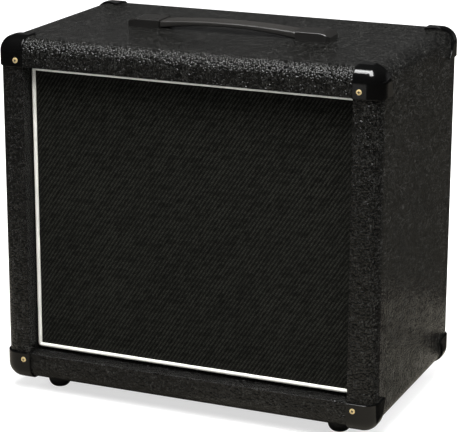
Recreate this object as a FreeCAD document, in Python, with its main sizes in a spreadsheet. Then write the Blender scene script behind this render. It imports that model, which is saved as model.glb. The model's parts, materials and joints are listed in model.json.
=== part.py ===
import FreeCAD, Part
import math
import operator
import os
import Sketcher

# A closed-back guitar speaker cabinet with one loudspeaker, standing on four rubber feet.
# Millimetres, +Z up, the feet stand at z 0, the grille faces -Y and +X is the viewer's right.

# Driving sizes
sizes = {
    # carcass and covering
    "box_width": 500,
    "box_depth": 300,
    "box_height": 443,
    "foot_height": 16.5,
    "edge_radius": 18,
    "vinyl_thickness": 0.8,
    "panel_thickness": 15,
    "border_width": 35,
    # front frame, baffle, cloth and piping
    "rail_depth": 22.6,
    "cloth_thickness": 0.8,
    "baffle_thickness": 18,
    "baffle_gap": 0.5,
    "piping_radius": 2.4,
    "piping_inset_side": 4,
    "piping_inset_end": 6.2,
    "piping_seat": 0.5,
    # rear frame and panel
    "rebate_depth": 16,
    "ledge_width": 18,
    "ledge_depth": 18,
    "rear_panel_thickness": 12,
    "rear_panel_gap": 1,
    # screws
    "screw_clearance": 0.15,
    "wood_screw_radius": 2,
    "pan_head_radius": 4,
    "pan_head_height": 2.4,
    "baffle_screw_bite": 12,
    "rear_screw_bite": 13,
    "dish_screw_bite": 9,
    "foot_screw_bite": 11,
    # corner protectors and their screws
    "protector_thickness": 2.4,
    "protector_overhang": 0.3,
    "protector_lobe": 43,
    "scallop_radius": 29,
    "scallop_reach": 27,
    "tip_radius": 9,
    "rim_round": 1.1,
    "corner_screw_radius": 1.75,
    "corner_screw_bite": 12,
    "corner_head_radius": 3.7,
    "corner_head_depth": 1.8,
    "corner_head_dome": 0.7,
    # strap handle
    "grip_half_length": 92,
    "cap_length": 44,
    "cap_width": 36,
    "cap_height": 10.5,
    "cap_plan_radius": 5,
    "cap_nose_height": 6,
    "cap_slope_length": 16,
    "cap_slope_radius": 24,
    "cap_edge_round": 1.6,
    "strap_width": 29,
    "strap_rise": 7.4,
    "strap_crown": 13.5,
    "strap_shoulder": 9,
    "strap_edge_round": 1.8,
    "strap_play": 2,
    "strap_clearance": 0.5,
    "strap_slide": 4,
    "tongue_thickness": 4.5,
    "tongue_set_back": 17,
    "boss_radius": 4.5,
    "cap_screw_inset": 8,
    "handle_screw_radius": 2.5,
    "handle_screw_bite": 7,
    "handle_head_radius": 6,
    "handle_head_height": 3,
    "strip_thickness": 1.2,
    "strip_width": 18,
    "strip_height": 1.6,
    "strip_clearance": 0.1,
    # feet
    "foot_radius": 15.5,
    "foot_waist_radius": 14.4,
    "foot_waist_height": 10.5,
    "foot_tread_radius": 9,
    "foot_round": 11,
    "foot_bore_radius": 5.6,
    "foot_bore_depth": 9,
    "foot_inset_side": 57,
    "foot_inset_front": 39,
    # loudspeaker frame
    "speaker_radius": 154.5,
    "cutout_inset": 13,
    "landing_inset": 10,
    "flange_width": 16.5,
    "bolt_inset": 5,
    "bolt_radius": 2.4,
    "bolt_head_radius": 3.4,
    "bolt_head_height": 3.2,
    "gasket_thickness": 3,
    "sheet_thickness": 1.4,
    "rim_depth": 6,
    "wall_draft": 3,
    "wall_depth": 18,
    "spider_ledge_width": 22,
    "spider_ledge_depth": 60,
    "seat_radius": 60,
    "seat_draft": 2,
    "seat_bore_radius": 40,
    "seat_step": 9,
    "window_foot": 6,
    "window_rim": 5,
    # cone, surround, spider and voice coil
    "surround_width": 10,
    "spider_standoff": 8,
    "cone_rim_depth": 1,
    "cone_thickness": 0.8,
    "surround_thickness": 0.6,
    "surround_roll": 2,
    "spider_thickness": 0.5,
    "spider_wave": 1.4,
    "spider_neck": 4,
    "dust_cap_radius": 31,
    "dust_cap_height": 12,
    "dust_cap_thickness": 0.5,
    "former_thickness": 0.3,
    "former_above_neck": 6,
    "former_below_plate": 4,
    "winding_thickness": 0.6,
    "winding_length": 10,
    "glue_gap": 0.05,
    "edge_gap": 0.3,
    # magnet
    "pole_radius": 21,
    "coil_clearance": 0.45,
    "plate_radius": 58,
    "plate_thickness": 8,
    "magnet_radius": 78,
    "magnet_bore_radius": 30,
    "magnet_thickness": 20,
    "back_plate_radius": 72,
    "back_plate_thickness": 8,
    # tee nuts
    "tee_flange_radius": 9,
    "tee_flange_thickness": 1.5,
    "tee_barrel_radius": 3.6,
    "tee_barrel_length": 9,
    # terminals and leads
    "board_width": 30,
    "board_thickness": 2,
    "board_inset": 4,
    "board_overhang": 13,
    "tab_width": 6.3,
    "tab_thickness": 0.8,
    "tab_spacing": 8,
    "tab_inset": 4,
    "tab_overhang": 5,
    "lead_radius": 1.2,
    "tinsel_radius": 0.8,
    "tinsel_inset": 3.5,
    # jack dish and socket
    "jack_rise": 61.5,
    "dish_rim": 12,
    "dish_flange_thickness": 3,
    "dish_mouth_radius": 28,
    "dish_draft": 4,
    "dish_wall": 2.5,
    "dish_depth": 26,
    "dish_clearance": 0.5,
    "dish_screw_offset": 6.5,
    "bushing_radius": 5.5,
    "bushing_length": 6.5,
    "jack_bore_radius": 3.25,
    "jack_width": 18,
    "jack_height": 20,
    "jack_length": 22,
    "jack_end_wall": 2,
    "nut_radius": 8,
    "nut_height": 3,
    "contact_thickness": 0.6,
    "contact_width": 5,
    "contact_lug": 7,
    # one overrun serves every cut
    "overrun": 5,
}

# Counts, angles and shares
finger_count = 10
window_count = 6
window_half_angle = 22
frame_hole_count = 8
speaker_bolt_count = 4
surround_fold_count = 4
spider_fold_count = 10
dish_screw_count = 3
side_screw_shares = (-0.3, 0.3)
cross_screw_shares = (-0.34, 0.34)
rear_cross_screw_shares = (-0.46, 0, 0.46)
rear_side_screw_shares = (-0.18, 0.18)
diagonal_share = math.sqrt(0.5)
corner_screw_share = 0.75
boss_share = 0.48
bend_share = 0.45
lead_route_shares = ((0.14, 0), (0.36, 0.17), (0.68, 0.28), (1, 0.17))
tinsel_route_shares = ((0.25, 0), (0.5, 0.08), (0.72, -0.1))

doc = FreeCAD.newDocument("speaker_cabinet")
sheet = doc.addObject("Spreadsheet::Sheet", "Sizes")
for row, (name, number) in enumerate(sizes.items(), start=1):
    sheet.set("A%d" % row, name)
    sheet.set("B%d" % row, str(number))
    sheet.setAlias("B%d" % row, name)
doc.recompute()


# A size carries its value and the formula that gives it from the sheet
class Size:
    def __init__(self, value, formula):
        self.value = value
        self.formula = formula

    def __add__(self, other):
        return combined(self, "+", other)

    def __radd__(self, other):
        return combined(other, "+", self)

    def __sub__(self, other):
        return combined(self, "-", other)

    def __rsub__(self, other):
        return combined(other, "-", self)

    def __mul__(self, other):
        return combined(self, "*", other)

    def __rmul__(self, other):
        return combined(other, "*", self)

    def __truediv__(self, other):
        return combined(self, "/", other)

    def __neg__(self):
        return combined(-1, "*", self)


workings = {"+": operator.add, "-": operator.sub, "*": operator.mul, "/": operator.truediv}


def as_size(thing):
    return thing if isinstance(thing, Size) else Size(thing, "%.12g" % thing)


def combined(one, sign, other):
    one = as_size(one)
    other = as_size(other)
    formula = "(%s %s %s)" % (one.formula, sign, other.formula)
    return Size(workings[sign](one.value, other.value), formula)


class Cells:
    pass


cell = Cells()
for name in sizes:
    setattr(cell, name, Size(sheet.get(name), "Sizes." + name))

rearward = FreeCAD.Rotation(FreeCAD.Vector(1, 0, 0), -90)
forward = FreeCAD.Rotation(FreeCAD.Vector(1, 0, 0), 90)
rightward = FreeCAD.Rotation(FreeCAD.Vector(0, 1, 0), 90)
downward = FreeCAD.Rotation(FreeCAD.Vector(1, 0, 0), 180)
nodes = []


def bind(thing, setting, size):
    if isinstance(size, Size):
        thing.setExpression(setting, size.formula)


def place(thing, spot, turn=None):
    if turn:
        thing.Placement = FreeCAD.Placement(FreeCAD.Vector(), turn)
    for axis, where in zip("xyz", spot):
        bind(thing, "Placement.Base." + axis, where)
    return thing


def node(thing):
    nodes.append(thing)
    return thing


# Solids and booleans
def block(name, low, lengths):
    thing = doc.addObject("Part::Box", name)
    for side, length in zip(("Length", "Width", "Height"), lengths):
        bind(thing, side, length)
    return place(thing, low)


def rod(name, radius, length, start, turn=None):
    thing = doc.addObject("Part::Cylinder", name)
    bind(thing, "Radius", radius)
    bind(thing, "Height", length)
    return place(thing, start, turn)


def gathered(name, things):
    group = doc.addObject("Part::Compound", name)
    group.Links = things
    return group


def cut(name, base, tools):
    thing = doc.addObject("Part::Cut", name)
    thing.Base = base
    thing.Tool = tools[0] if len(tools) == 1 else gathered(name + "_cuts", tools)
    return thing


def fused(name, things):
    thing = doc.addObject("Part::MultiFuse", name)
    thing.Shapes = things
    return thing


def shared(name, one, other):
    thing = doc.addObject("Part::Common", name)
    thing.Base = one
    thing.Tool = other
    return thing


def mirrored(name, source, normal, middle=None):
    thing = doc.addObject("Part::Mirroring", name)
    thing.Source = source
    thing.Normal = FreeCAD.Vector(*normal)
    if middle:
        bind(thing, "Base.z", middle)
    return thing


def copies(name, source, spots, turn=None):
    links = []
    for number, spot in enumerate(spots):
        link = doc.addObject("App::Link", "%s_%d" % (name, number))
        link.LinkedObject = source
        link.LinkTransform = False
        links.append(place(link, spot, turn))
    return links


# Sketches: each corner is held by its two distances, each bend by its radius
def arc_edge(start, finish, radius, side):
    along = finish - start
    across = FreeCAD.Vector(-along.y, along.x, 0).normalize()
    height = math.sqrt(radius ** 2 - (along.Length / 2) ** 2)
    centre = (start + finish) / 2 + across * (height if side == "left" else -height)
    first, last = (start, finish) if side == "left" else (finish, start)
    first_angle = math.atan2(first.y - centre.y, first.x - centre.x)
    last_angle = math.atan2(last.y - centre.y, last.x - centre.x)
    if last_angle < first_angle:
        last_angle += 2 * math.pi
    circle = Part.Circle(centre, FreeCAD.Vector(0, 0, 1), radius)
    order = (1, 2) if side == "left" else (2, 1)
    return Part.ArcOfCircle(circle, first_angle, last_angle), order


def drawn(body, name, plane, points, bends):
    sketch = body.newObject("Sketcher::SketchObject", name)
    support = [feature for feature in body.Origin.OriginFeatures if feature.Role == plane]
    sketch.AttachmentSupport = [(support[0], "")]
    sketch.MapMode = "FlatFace"
    spots = [FreeCAD.Vector(as_size(x).value, as_size(y).value, 0) for x, y in points]
    orders = []
    for number, start in enumerate(spots):
        finish = spots[(number + 1) % len(spots)]
        edge, order = Part.LineSegment(start, finish), (1, 2)
        if number in bends:
            radius, side = bends[number]
            edge, order = arc_edge(start, finish, radius.value, side)
        sketch.addGeometry(edge, False)
        orders.append(order)
    for number, point in enumerate(points):
        after = (number + 1) % len(points)
        corner = orders[number][0]
        joint = Sketcher.Constraint("Coincident", number, orders[number][1], after, orders[after][0])
        sketch.addConstraint(joint)
        for letter, kind, axis, size in zip("xy", ("DistanceX", "DistanceY"), (-2, -1), point):
            if isinstance(size, Size):
                held = Sketcher.Constraint(kind, -1, 1, number, corner, size.value)
                name_constraint(sketch, held, letter + str(number), size)
            else:
                sketch.addConstraint(Sketcher.Constraint("PointOnObject", number, corner, axis))
    for number, (radius, side) in bends.items():
        held = Sketcher.Constraint("Radius", number, radius.value)
        name_constraint(sketch, held, "bend" + str(number), radius)
    return sketch


def name_constraint(sketch, constraint, label, size):
    index = sketch.addConstraint(constraint)
    sketch.renameConstraint(index, label)
    sketch.setExpression("Constraints." + label, size.formula)


def turned(name, points, spot=(0, 0, 0), turn=None, bends={}):
    body = doc.addObject("PartDesign::Body", name)
    sketch = drawn(body, name + "_outline", "XZ_Plane", points, bends)
    spin = body.newObject("PartDesign::Revolution", name + "_spin")
    spin.Profile = sketch
    spin.ReferenceAxis = (sketch, ["V_Axis"])
    spin.Angle = 360
    return place(body, spot, turn)


def padded(name, plane, points, length, spot=(0, 0, 0), bends={}, both_ways=False, turn=None):
    body = doc.addObject("PartDesign::Body", name)
    pad = body.newObject("PartDesign::Pad", name + "_pad")
    pad.Profile = drawn(body, name + "_outline", plane, points, bends)
    bind(pad, "Length", length)
    pad.SideType = "Symmetric" if both_ways else "One side"
    body.Tip = pad
    return place(body, spot, turn)


def rounded(body, radius, chosen=None):
    doc.recompute()
    base = body.Tip
    fillet = body.newObject("PartDesign::Fillet", body.Name + "_round")
    if chosen:
        names = ["Edge%d" % (n + 1) for n, edge in enumerate(base.Shape.Edges) if chosen(edge)]
        fillet.Base = (base, names)
    else:
        fillet.Base = (base, [""])
        fillet.UseAllEdges = True
    bind(fillet, "Radius", radius)
    body.Tip = fillet
    return body


def rounded_solid(name, source, radius, chosen):
    doc.recompute()
    fillet = doc.addObject("Part::Fillet", name)
    fillet.Base = source
    edges = [n + 1 for n, edge in enumerate(source.Shape.Edges) if chosen(edge)]
    fillet.Edges = [(number, radius.value, radius.value) for number in edges]
    return fillet


def close(one, other):
    return abs(one - other) < Part.Precision.confusion() * 1000


def rectangle(width, depth):
    return [(0, 0), (width, 0), (width, depth), (0, depth)]


def ring(inner, outer, low, high):
    return [(inner, low), (outer, low), (outer, high), (inner, high)]


# Main planes and the room inside
core_width = cell.box_width - 2 * cell.vinyl_thickness
core_depth = cell.box_depth - 2 * cell.vinyl_thickness
core_height = cell.box_height - 2 * cell.vinyl_thickness
core_bottom = cell.foot_height + cell.vinyl_thickness
core_top = core_bottom + core_height
box_top = cell.foot_height + cell.box_height
middle_height = cell.foot_height + cell.box_height / 2
inner_width = core_width - 2 * cell.panel_thickness
inner_height = core_height - 2 * cell.panel_thickness
inner_bottom = core_bottom + cell.panel_thickness
inner_top = core_top - cell.panel_thickness
opening_width = cell.box_width - 2 * cell.border_width
opening_height = cell.box_height - 2 * cell.border_width
rail_width = cell.border_width - cell.panel_thickness - 2 * cell.vinyl_thickness
cloth_front = cell.rail_depth - core_depth / 2
baffle_front = cloth_front + cell.cloth_thickness
baffle_rear = baffle_front + cell.baffle_thickness
ledge_rear = core_depth / 2 - cell.rebate_depth
rear_panel_face = ledge_rear + cell.rear_panel_thickness
screw_hole_radius = cell.wood_screw_radius + cell.screw_clearance

protector_reach = cell.border_width + cell.protector_overhang
corner_screw_inset = protector_reach * corner_screw_share
jack_z = cell.foot_height + cell.border_width + cell.jack_rise

# Handle, jack dish and loudspeaker sizes that follow from their leading ones
tongue_length = cell.cap_length - cell.tongue_set_back
boss_reach = tongue_length * boss_share
cap_screw_reach = cell.cap_length - cell.cap_screw_inset
dish_flange_radius = cell.dish_mouth_radius + cell.dish_rim
dish_floor_radius = cell.dish_mouth_radius - cell.dish_draft
dish_screw_radius = cell.dish_mouth_radius + cell.dish_screw_offset
flange_inner_radius = cell.speaker_radius - cell.flange_width
landing_radius = cell.speaker_radius - cell.landing_inset
bolt_circle_radius = cell.speaker_radius - cell.bolt_inset
cutout_radius = cell.speaker_radius - cell.cutout_inset
wall_radius = flange_inner_radius - cell.wall_draft
cone_radius = flange_inner_radius - cell.surround_width
spider_opening_radius = cell.seat_radius + cell.seat_draft
spider_ledge_radius = spider_opening_radius + cell.spider_ledge_width
seat_depth = cell.spider_ledge_depth + cell.seat_step
window_inner_radius = spider_ledge_radius + cell.window_foot
window_outer_radius = wall_radius - cell.window_rim
board_inner_radius = spider_opening_radius + cell.board_inset
board_outer_radius = spider_ledge_radius + cell.board_overhang
tab_inner_radius = spider_ledge_radius - cell.tab_inset
tab_outer_radius = board_outer_radius + cell.tab_overhang


# Round-edged forms that the carcass, the covering and the protectors share
def round_box(name, grow):
    width = cell.box_width + 2 * grow
    depth = cell.box_depth + 2 * grow
    height = cell.box_height + 2 * grow
    spot = (-width / 2, -depth / 2, cell.foot_height - grow)
    body = padded(name, "XY_Plane", rectangle(width, depth), height, spot)
    return rounded(body, cell.edge_radius + grow)


covering_form = round_box("covering_form", Size(0, "0"))
core_form = round_box("core_form", -cell.vinyl_thickness)
protector_form = round_box("protector_form", cell.protector_thickness)

# Places of the screws that pass through the boards
corner_x = cell.box_width / 2 - corner_screw_inset
corner_z = cell.box_height / 2 - corner_screw_inset
foot_x = cell.box_width / 2 - cell.foot_inset_side
foot_y = cell.box_depth / 2 - cell.foot_inset_front
boss_x = cell.grip_half_length + boss_reach
cap_screw_x = cell.grip_half_length + cap_screw_reach
handle_places = [sign * reach for sign in (-1, 1) for reach in (boss_x, cap_screw_x)]
foot_places = [(side * foot_x, end * foot_y) for side in (-1, 1) for end in (-1, 1)]
rail_line_x = inner_width / 2 - rail_width / 2
rail_line_z = inner_height / 2 - rail_width / 2
baffle_places = [(side * rail_line_x, share * inner_height)
                 for side in (-1, 1) for share in side_screw_shares]
baffle_places += [(share * inner_width, end * rail_line_z)
                  for end in (-1, 1) for share in cross_screw_shares]
ledge_line_x = opening_width / 2 - cell.ledge_width / 2
ledge_line_z = opening_height / 2 - cell.ledge_width / 2
rear_places = [(share * opening_width, end * ledge_line_z)
               for end in (-1, 1) for share in rear_cross_screw_shares]
rear_places += [(side * ledge_line_x, share * opening_height)
                for side in (-1, 1) for share in rear_side_screw_shares]


def corner_holes(name):
    holes = []
    start = -cell.box_depth / 2 - cell.overrun
    radius = cell.corner_screw_radius + cell.screw_clearance
    length = cell.box_depth + 2 * cell.overrun
    for number, (side, end) in enumerate([(-1, -1), (-1, 1), (1, -1), (1, 1)]):
        spot = (side * corner_x, start, middle_height + end * corner_z)
        holes.append(rod("%s_%d" % (name, number), radius, length, spot, rearward))
    return holes


def foot_holes(name, radius):
    length = cell.panel_thickness + cell.vinyl_thickness + 2 * cell.overrun
    return [rod("%s_%d" % (name, number), radius, length, (x, y, cell.foot_height - cell.overrun))
            for number, (x, y) in enumerate(foot_places)]


def handle_holes(name):
    radius = cell.handle_screw_radius + cell.screw_clearance
    length = cell.panel_thickness + cell.vinyl_thickness + 2 * cell.overrun
    return [rod("%s_%d" % (name, number), radius, length, (x, 0, inner_top - cell.overrun))
            for number, x in enumerate(handle_places)]


# Carcass boards, comb-jointed at the four corners
finger = core_depth / finger_count


def comb(name, first, low_x, low_z):
    teeth = []
    for number in range(first, finger_count, 2):
        low = (low_x, finger * number - core_depth / 2, low_z)
        lengths = (cell.panel_thickness, finger, cell.panel_thickness)
        teeth.append(block("%s_%d" % (name, number), low, lengths))
    return teeth


left_x = -core_width / 2
right_x = inner_width / 2


def level_board(name, low_z, holes):
    low = (left_x, -core_depth / 2, low_z)
    board = block(name + "_board", low, (core_width, core_depth, cell.panel_thickness))
    teeth = comb(name + "_left", 1, left_x, low_z) + comb(name + "_right", 1, right_x, low_z)
    combed = cut(name + "_combed", board, teeth + holes)
    return node(shared(name, combed, core_form))


def side_board(name, low_x):
    low = (low_x, -core_depth / 2, core_bottom)
    board = block(name + "_board", low, (cell.panel_thickness, core_depth, core_height))
    teeth = comb(name + "_lower", 0, low_x, core_bottom) + comb(name + "_upper", 0, low_x, inner_top)
    return node(shared(name, cut(name + "_combed", board, teeth), core_form))


level_board("top_panel", inner_top, handle_holes("top_hole"))
level_board("bottom_panel", core_bottom, foot_holes("bottom_hole", screw_hole_radius))
side_board("left_side_panel", left_x)
side_board("right_side_panel", right_x)


# Front frame: two full-height side rails and two cross rails between them
def baffle_holes(name):
    start = cloth_front - cell.baffle_screw_bite
    length = cell.baffle_screw_bite + cell.cloth_thickness + cell.baffle_thickness + cell.overrun
    return [rod("%s_%d" % (name, number), screw_hole_radius, length,
                (x, start, middle_height + z), rearward)
            for number, (x, z) in enumerate(baffle_places)]


def front_rail(name, low, lengths):
    rail = block(name + "_stick", low, lengths)
    holes = baffle_holes(name + "_baffle_hole") + corner_holes(name + "_corner_hole")
    return node(cut(name, shared(name + "_form", rail, core_form), holes))


front_y = -core_depth / 2
cross_x = rail_width - inner_width / 2
cross_length = inner_width - 2 * rail_width
side_rail = (rail_width, cell.rail_depth, inner_height)
cross_rail = (cross_length, cell.rail_depth, rail_width)
front_rail("front_left_rail", (-inner_width / 2, front_y, inner_bottom), side_rail)
front_rail("front_right_rail", (inner_width / 2 - rail_width, front_y, inner_bottom), side_rail)
front_rail("front_bottom_rail", (cross_x, front_y, inner_bottom), cross_rail)
front_rail("front_top_rail", (cross_x, front_y, inner_top - rail_width), cross_rail)


# Rear frame: rebated rails, with a ledge that the rear panel is screwed to
def rear_holes(name):
    start = ledge_rear - cell.rear_screw_bite
    length = cell.rear_screw_bite + cell.rear_panel_thickness + cell.overrun
    return [rod("%s_%d" % (name, number), screw_hole_radius, length,
                (x, start, middle_height + z), rearward)
            for number, (x, z) in enumerate(rear_places)]


ledge_reach = rail_width + cell.vinyl_thickness + cell.ledge_width
ledge_front = ledge_rear - cell.ledge_depth


def rear_rail(name, stick_low, stick, ledge_low, ledge):
    parts = [block(name + "_stick", stick_low, stick), block(name + "_ledge", ledge_low, ledge)]
    rail = shared(name + "_form", fused(name + "_both", parts), core_form)
    return node(cut(name, rail, rear_holes(name + "_panel_hole") + corner_holes(name + "_corner_hole")))


rear_side_stick = (rail_width, cell.rebate_depth, inner_height)
rear_side_ledge = (ledge_reach, cell.ledge_depth, inner_height)
rear_cross_stick = (cross_length, cell.rebate_depth, rail_width)
rear_cross_ledge = (inner_width - 2 * ledge_reach, cell.ledge_depth, ledge_reach)
ledge_cross_x = ledge_reach - inner_width / 2
rear_rail("rear_left_rail", (-inner_width / 2, ledge_rear, inner_bottom), rear_side_stick,
          (-inner_width / 2, ledge_front, inner_bottom), rear_side_ledge)
rear_rail("rear_right_rail", (inner_width / 2 - rail_width, ledge_rear, inner_bottom), rear_side_stick,
          (inner_width / 2 - ledge_reach, ledge_front, inner_bottom), rear_side_ledge)
rear_rail("rear_bottom_rail", (cross_x, ledge_rear, inner_bottom), rear_cross_stick,
          (ledge_cross_x, ledge_front, inner_bottom), rear_cross_ledge)
rear_rail("rear_top_rail", (cross_x, ledge_rear, inner_top - rail_width), rear_cross_stick,
          (ledge_cross_x, ledge_front, inner_top - ledge_reach), rear_cross_ledge)


# Vinyl covering: one skin over the box, turned in round the front and rear openings
def lining(name, low_y, depth):
    width = opening_width + 2 * cell.vinyl_thickness
    height = opening_height + 2 * cell.vinyl_thickness
    return block(name, (-width / 2, low_y, middle_height - height / 2), (width, depth, height))


skin = cut("covering_skin", covering_form, [core_form])
skin_lined = fused("covering_lined", [skin, lining("front_lining", front_y, cell.rail_depth),
                                      lining("rear_lining", ledge_rear, cell.rebate_depth)])
window_low = (-opening_width / 2, -cell.box_depth / 2 - cell.overrun, middle_height - opening_height / 2)
window = block("opening", window_low, (opening_width, cell.box_depth + 2 * cell.overrun, opening_height))
covering_cuts = [window] + corner_holes("covering_corner_hole")
covering_cuts += foot_holes("covering_foot_hole", screw_hole_radius) + handle_holes("covering_handle_hole")
node(cut("vinyl_covering", skin_lined, covering_cuts))

# Baffle board and the cloth stretched over its front
board_width = inner_width - 2 * cell.baffle_gap
board_height = inner_height - 2 * cell.baffle_gap
board_low = (-board_width / 2, baffle_front, middle_height - board_height / 2)
cloth_low = (-board_width / 2, cloth_front, middle_height - board_height / 2)
tee_angles = [math.radians(45 + 360 / speaker_bolt_count * number) for number in range(speaker_bolt_count)]
bolt_places = [(bolt_circle_radius * math.cos(angle), bolt_circle_radius * math.sin(angle))
               for angle in tee_angles]


def speaker_holes(name, radius, start, length):
    return [rod("%s_%d" % (name, number), radius, length, (x, start, middle_height + z), rearward)
            for number, (x, z) in enumerate(bolt_places)]


baffle_solid = block("baffle_blank", board_low, (board_width, cell.baffle_thickness, board_height))
baffle_cuts = [rod("speaker_cutout", cutout_radius, cell.baffle_thickness + 2 * cell.overrun,
                   (0, baffle_front - cell.overrun, middle_height), rearward)]
baffle_cuts += baffle_holes("baffle_screw_hole")
baffle_bored = cut("baffle_bored", baffle_solid, baffle_cuts)
barrel_holes = speaker_holes("barrel_hole", cell.tee_barrel_radius + cell.screw_clearance,
                             baffle_front - cell.overrun, cell.baffle_thickness + 2 * cell.overrun)
baffle_barrels = cut("baffle_barrels", baffle_bored, barrel_holes)
flange_holes = speaker_holes("flange_hole", cell.tee_flange_radius + cell.screw_clearance,
                             baffle_front - cell.overrun, cell.overrun + cell.tee_flange_thickness)
node(cut("baffle_board", baffle_barrels, flange_holes))
cloth_blank = block("cloth_blank", cloth_low, (board_width, cell.cloth_thickness, board_height))
node(cut("grille_cloth", cloth_blank, baffle_holes("cloth_hole")))

# Piping: four straight runs that meet in ball-ended corners, flattened where it lies on the cloth
piping_half_width = opening_width / 2 - cell.piping_inset_side
piping_half_height = opening_height / 2 - cell.piping_inset_end
piping_y = cloth_front - cell.piping_radius + cell.piping_seat
runs = []
for sign in (-1, 1):
    across = (-piping_half_width, piping_y, middle_height + sign * piping_half_height)
    upright = (sign * piping_half_width, piping_y, middle_height - piping_half_height)
    runs.append(rod("piping_across_%d" % (sign + 1), cell.piping_radius, 2 * piping_half_width, across,
                    rightward))
    runs.append(rod("piping_upright_%d" % (sign + 1), cell.piping_radius, 2 * piping_half_height, upright))
    for end in (-1, 1):
        ball = doc.addObject("Part::Sphere", "piping_corner_%d_%d" % (sign + 1, end + 1))
        bind(ball, "Radius", cell.piping_radius)
        runs.append(place(ball, (sign * piping_half_width, piping_y,
                                 middle_height + end * piping_half_height)))
seat_low = (-opening_width / 2, cloth_front, middle_height - opening_height / 2)
seat_block = block("piping_seat_cut", seat_low, (opening_width, cell.overrun, opening_height))
node(cut("grille_piping", fused("piping_ring", runs), [seat_block]))


# Pan-head wood screw, standing on the origin with its point up
def pan_screw(name, reach):
    return turned(name, [(0, 0), (cell.pan_head_radius, 0), (cell.pan_head_radius, cell.pan_head_height),
                         (cell.wood_screw_radius, cell.pan_head_height),
                         (cell.wood_screw_radius, cell.pan_head_height + reach),
                         (0, cell.pan_head_height + reach)])


baffle_screw_reach = cell.baffle_thickness + cell.cloth_thickness + cell.baffle_screw_bite
baffle_screw = pan_screw("baffle_screw", baffle_screw_reach)
baffle_spots = [(x, baffle_rear + cell.pan_head_height, middle_height + z) for x, z in baffle_places]
node(gathered("baffle_screws", copies("baffle_screw_copy", baffle_screw, baffle_spots, forward)))

# Rear panel with its cut-out for the jack dish
dish_angles = [math.radians(90 + 360 / dish_screw_count * number) for number in range(dish_screw_count)]
dish_places = [(dish_screw_radius * math.cos(angle), dish_screw_radius * math.sin(angle))
               for angle in dish_angles]
rear_width = opening_width - 2 * cell.rear_panel_gap
rear_height = opening_height - 2 * cell.rear_panel_gap
rear_low = (-rear_width / 2, ledge_rear, middle_height - rear_height / 2)
rear_blank = block("rear_blank", rear_low, (rear_width, cell.rear_panel_thickness, rear_height))
rear_cuts = rear_holes("rear_panel_hole")
cup_hole_radius = cell.dish_mouth_radius + cell.dish_wall + cell.dish_clearance
rear_cuts.append(rod("dish_cutout", cup_hole_radius, cell.rear_panel_thickness + 2 * cell.overrun,
                     (0, ledge_rear - cell.overrun, jack_z), rearward))
for number, (x, z) in enumerate(dish_places):
    spot = (x, rear_panel_face - cell.dish_screw_bite, jack_z + z)
    rear_cuts.append(rod("dish_pilot_%d" % number, screw_hole_radius,
                         cell.dish_screw_bite + cell.overrun, spot, rearward))
node(cut("rear_panel", rear_blank, rear_cuts))
panel_screw = pan_screw("panel_screw", cell.rear_panel_thickness + cell.rear_screw_bite)
dish_screw = pan_screw("dish_screw", cell.dish_flange_thickness + cell.dish_screw_bite)
panel_spots = [(x, rear_panel_face + cell.pan_head_height, middle_height + z) for x, z in rear_places]
dish_spot_y = rear_panel_face + cell.dish_flange_thickness + cell.pan_head_height
dish_spots = [(x, dish_spot_y, jack_z + z) for x, z in dish_places]
rear_screws = copies("panel_screw_copy", panel_screw, panel_spots, forward)
rear_screws += copies("dish_screw_copy", dish_screw, dish_spots, forward)
node(gathered("rear_screws", rear_screws))

# Corner protectors: a moulded shell over the round corner, scalloped on its long edge
face_y = -cell.box_depth / 2 - cell.protector_thickness
trim_x = cell.box_width / 2 - protector_reach
trim_z = box_top - protector_reach
trim_side = protector_reach + cell.protector_thickness
trim_lobe = cell.protector_lobe + cell.protector_thickness
trim = padded("protector_trim", "XY_Plane", rectangle(trim_side, trim_lobe), trim_side,
              (trim_x, face_y, trim_z))


def lobe_tip(edge):
    bounds = edge.BoundBox
    far = close(bounds.YMin, trim_lobe.value) and close(bounds.YMax, trim_lobe.value)
    upright = close(bounds.XMax, 0) and far
    level = close(bounds.ZMax, 0) and far
    return upright or level


rounded(trim, cell.tip_radius, lobe_tip)
scallop_y = cell.scallop_reach + cell.scallop_radius - cell.box_depth / 2
scallop_half = 2 * protector_reach * diagonal_share
scallop = rod("protector_scallop", cell.scallop_radius, 4 * protector_reach,
              (cell.box_width / 2 - scallop_half, scallop_y, box_top - scallop_half),
              FreeCAD.Rotation(FreeCAD.Vector(0, 1, 0), 45))
head_hole_radius = cell.corner_head_radius + cell.screw_clearance
shank_hole_radius = cell.corner_screw_radius + cell.screw_clearance
head_hole = turned("corner_head_hole",
                   [(0, 0), (head_hole_radius, 0), (head_hole_radius, cell.overrun),
                    (shank_hole_radius, cell.overrun + cell.corner_head_depth),
                    (shank_hole_radius, 2 * cell.overrun + cell.corner_head_depth),
                    (0, 2 * cell.overrun + cell.corner_head_depth)],
                   (corner_x, face_y - cell.overrun, middle_height + corner_z), rearward)
shell = cut("protector_shell", protector_form, [covering_form])
corner_blank = cut("corner_blank", shared("corner_trimmed", shell, trim), [scallop])


def outer_rim(edge):
    spot = edge.valueAt((edge.FirstParameter + edge.LastParameter) / 2)
    vertex = Part.Vertex(spot)
    on_skin = protector_form.Shape.Shells[0].distToShape(vertex)[0]
    on_trim = trim.Shape.Shells[0].distToShape(vertex)[0]
    on_scallop = scallop.Shape.Shells[0].distToShape(vertex)[0]
    return close(on_skin, 0) and (close(on_trim, 0) or close(on_scallop, 0))


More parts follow.
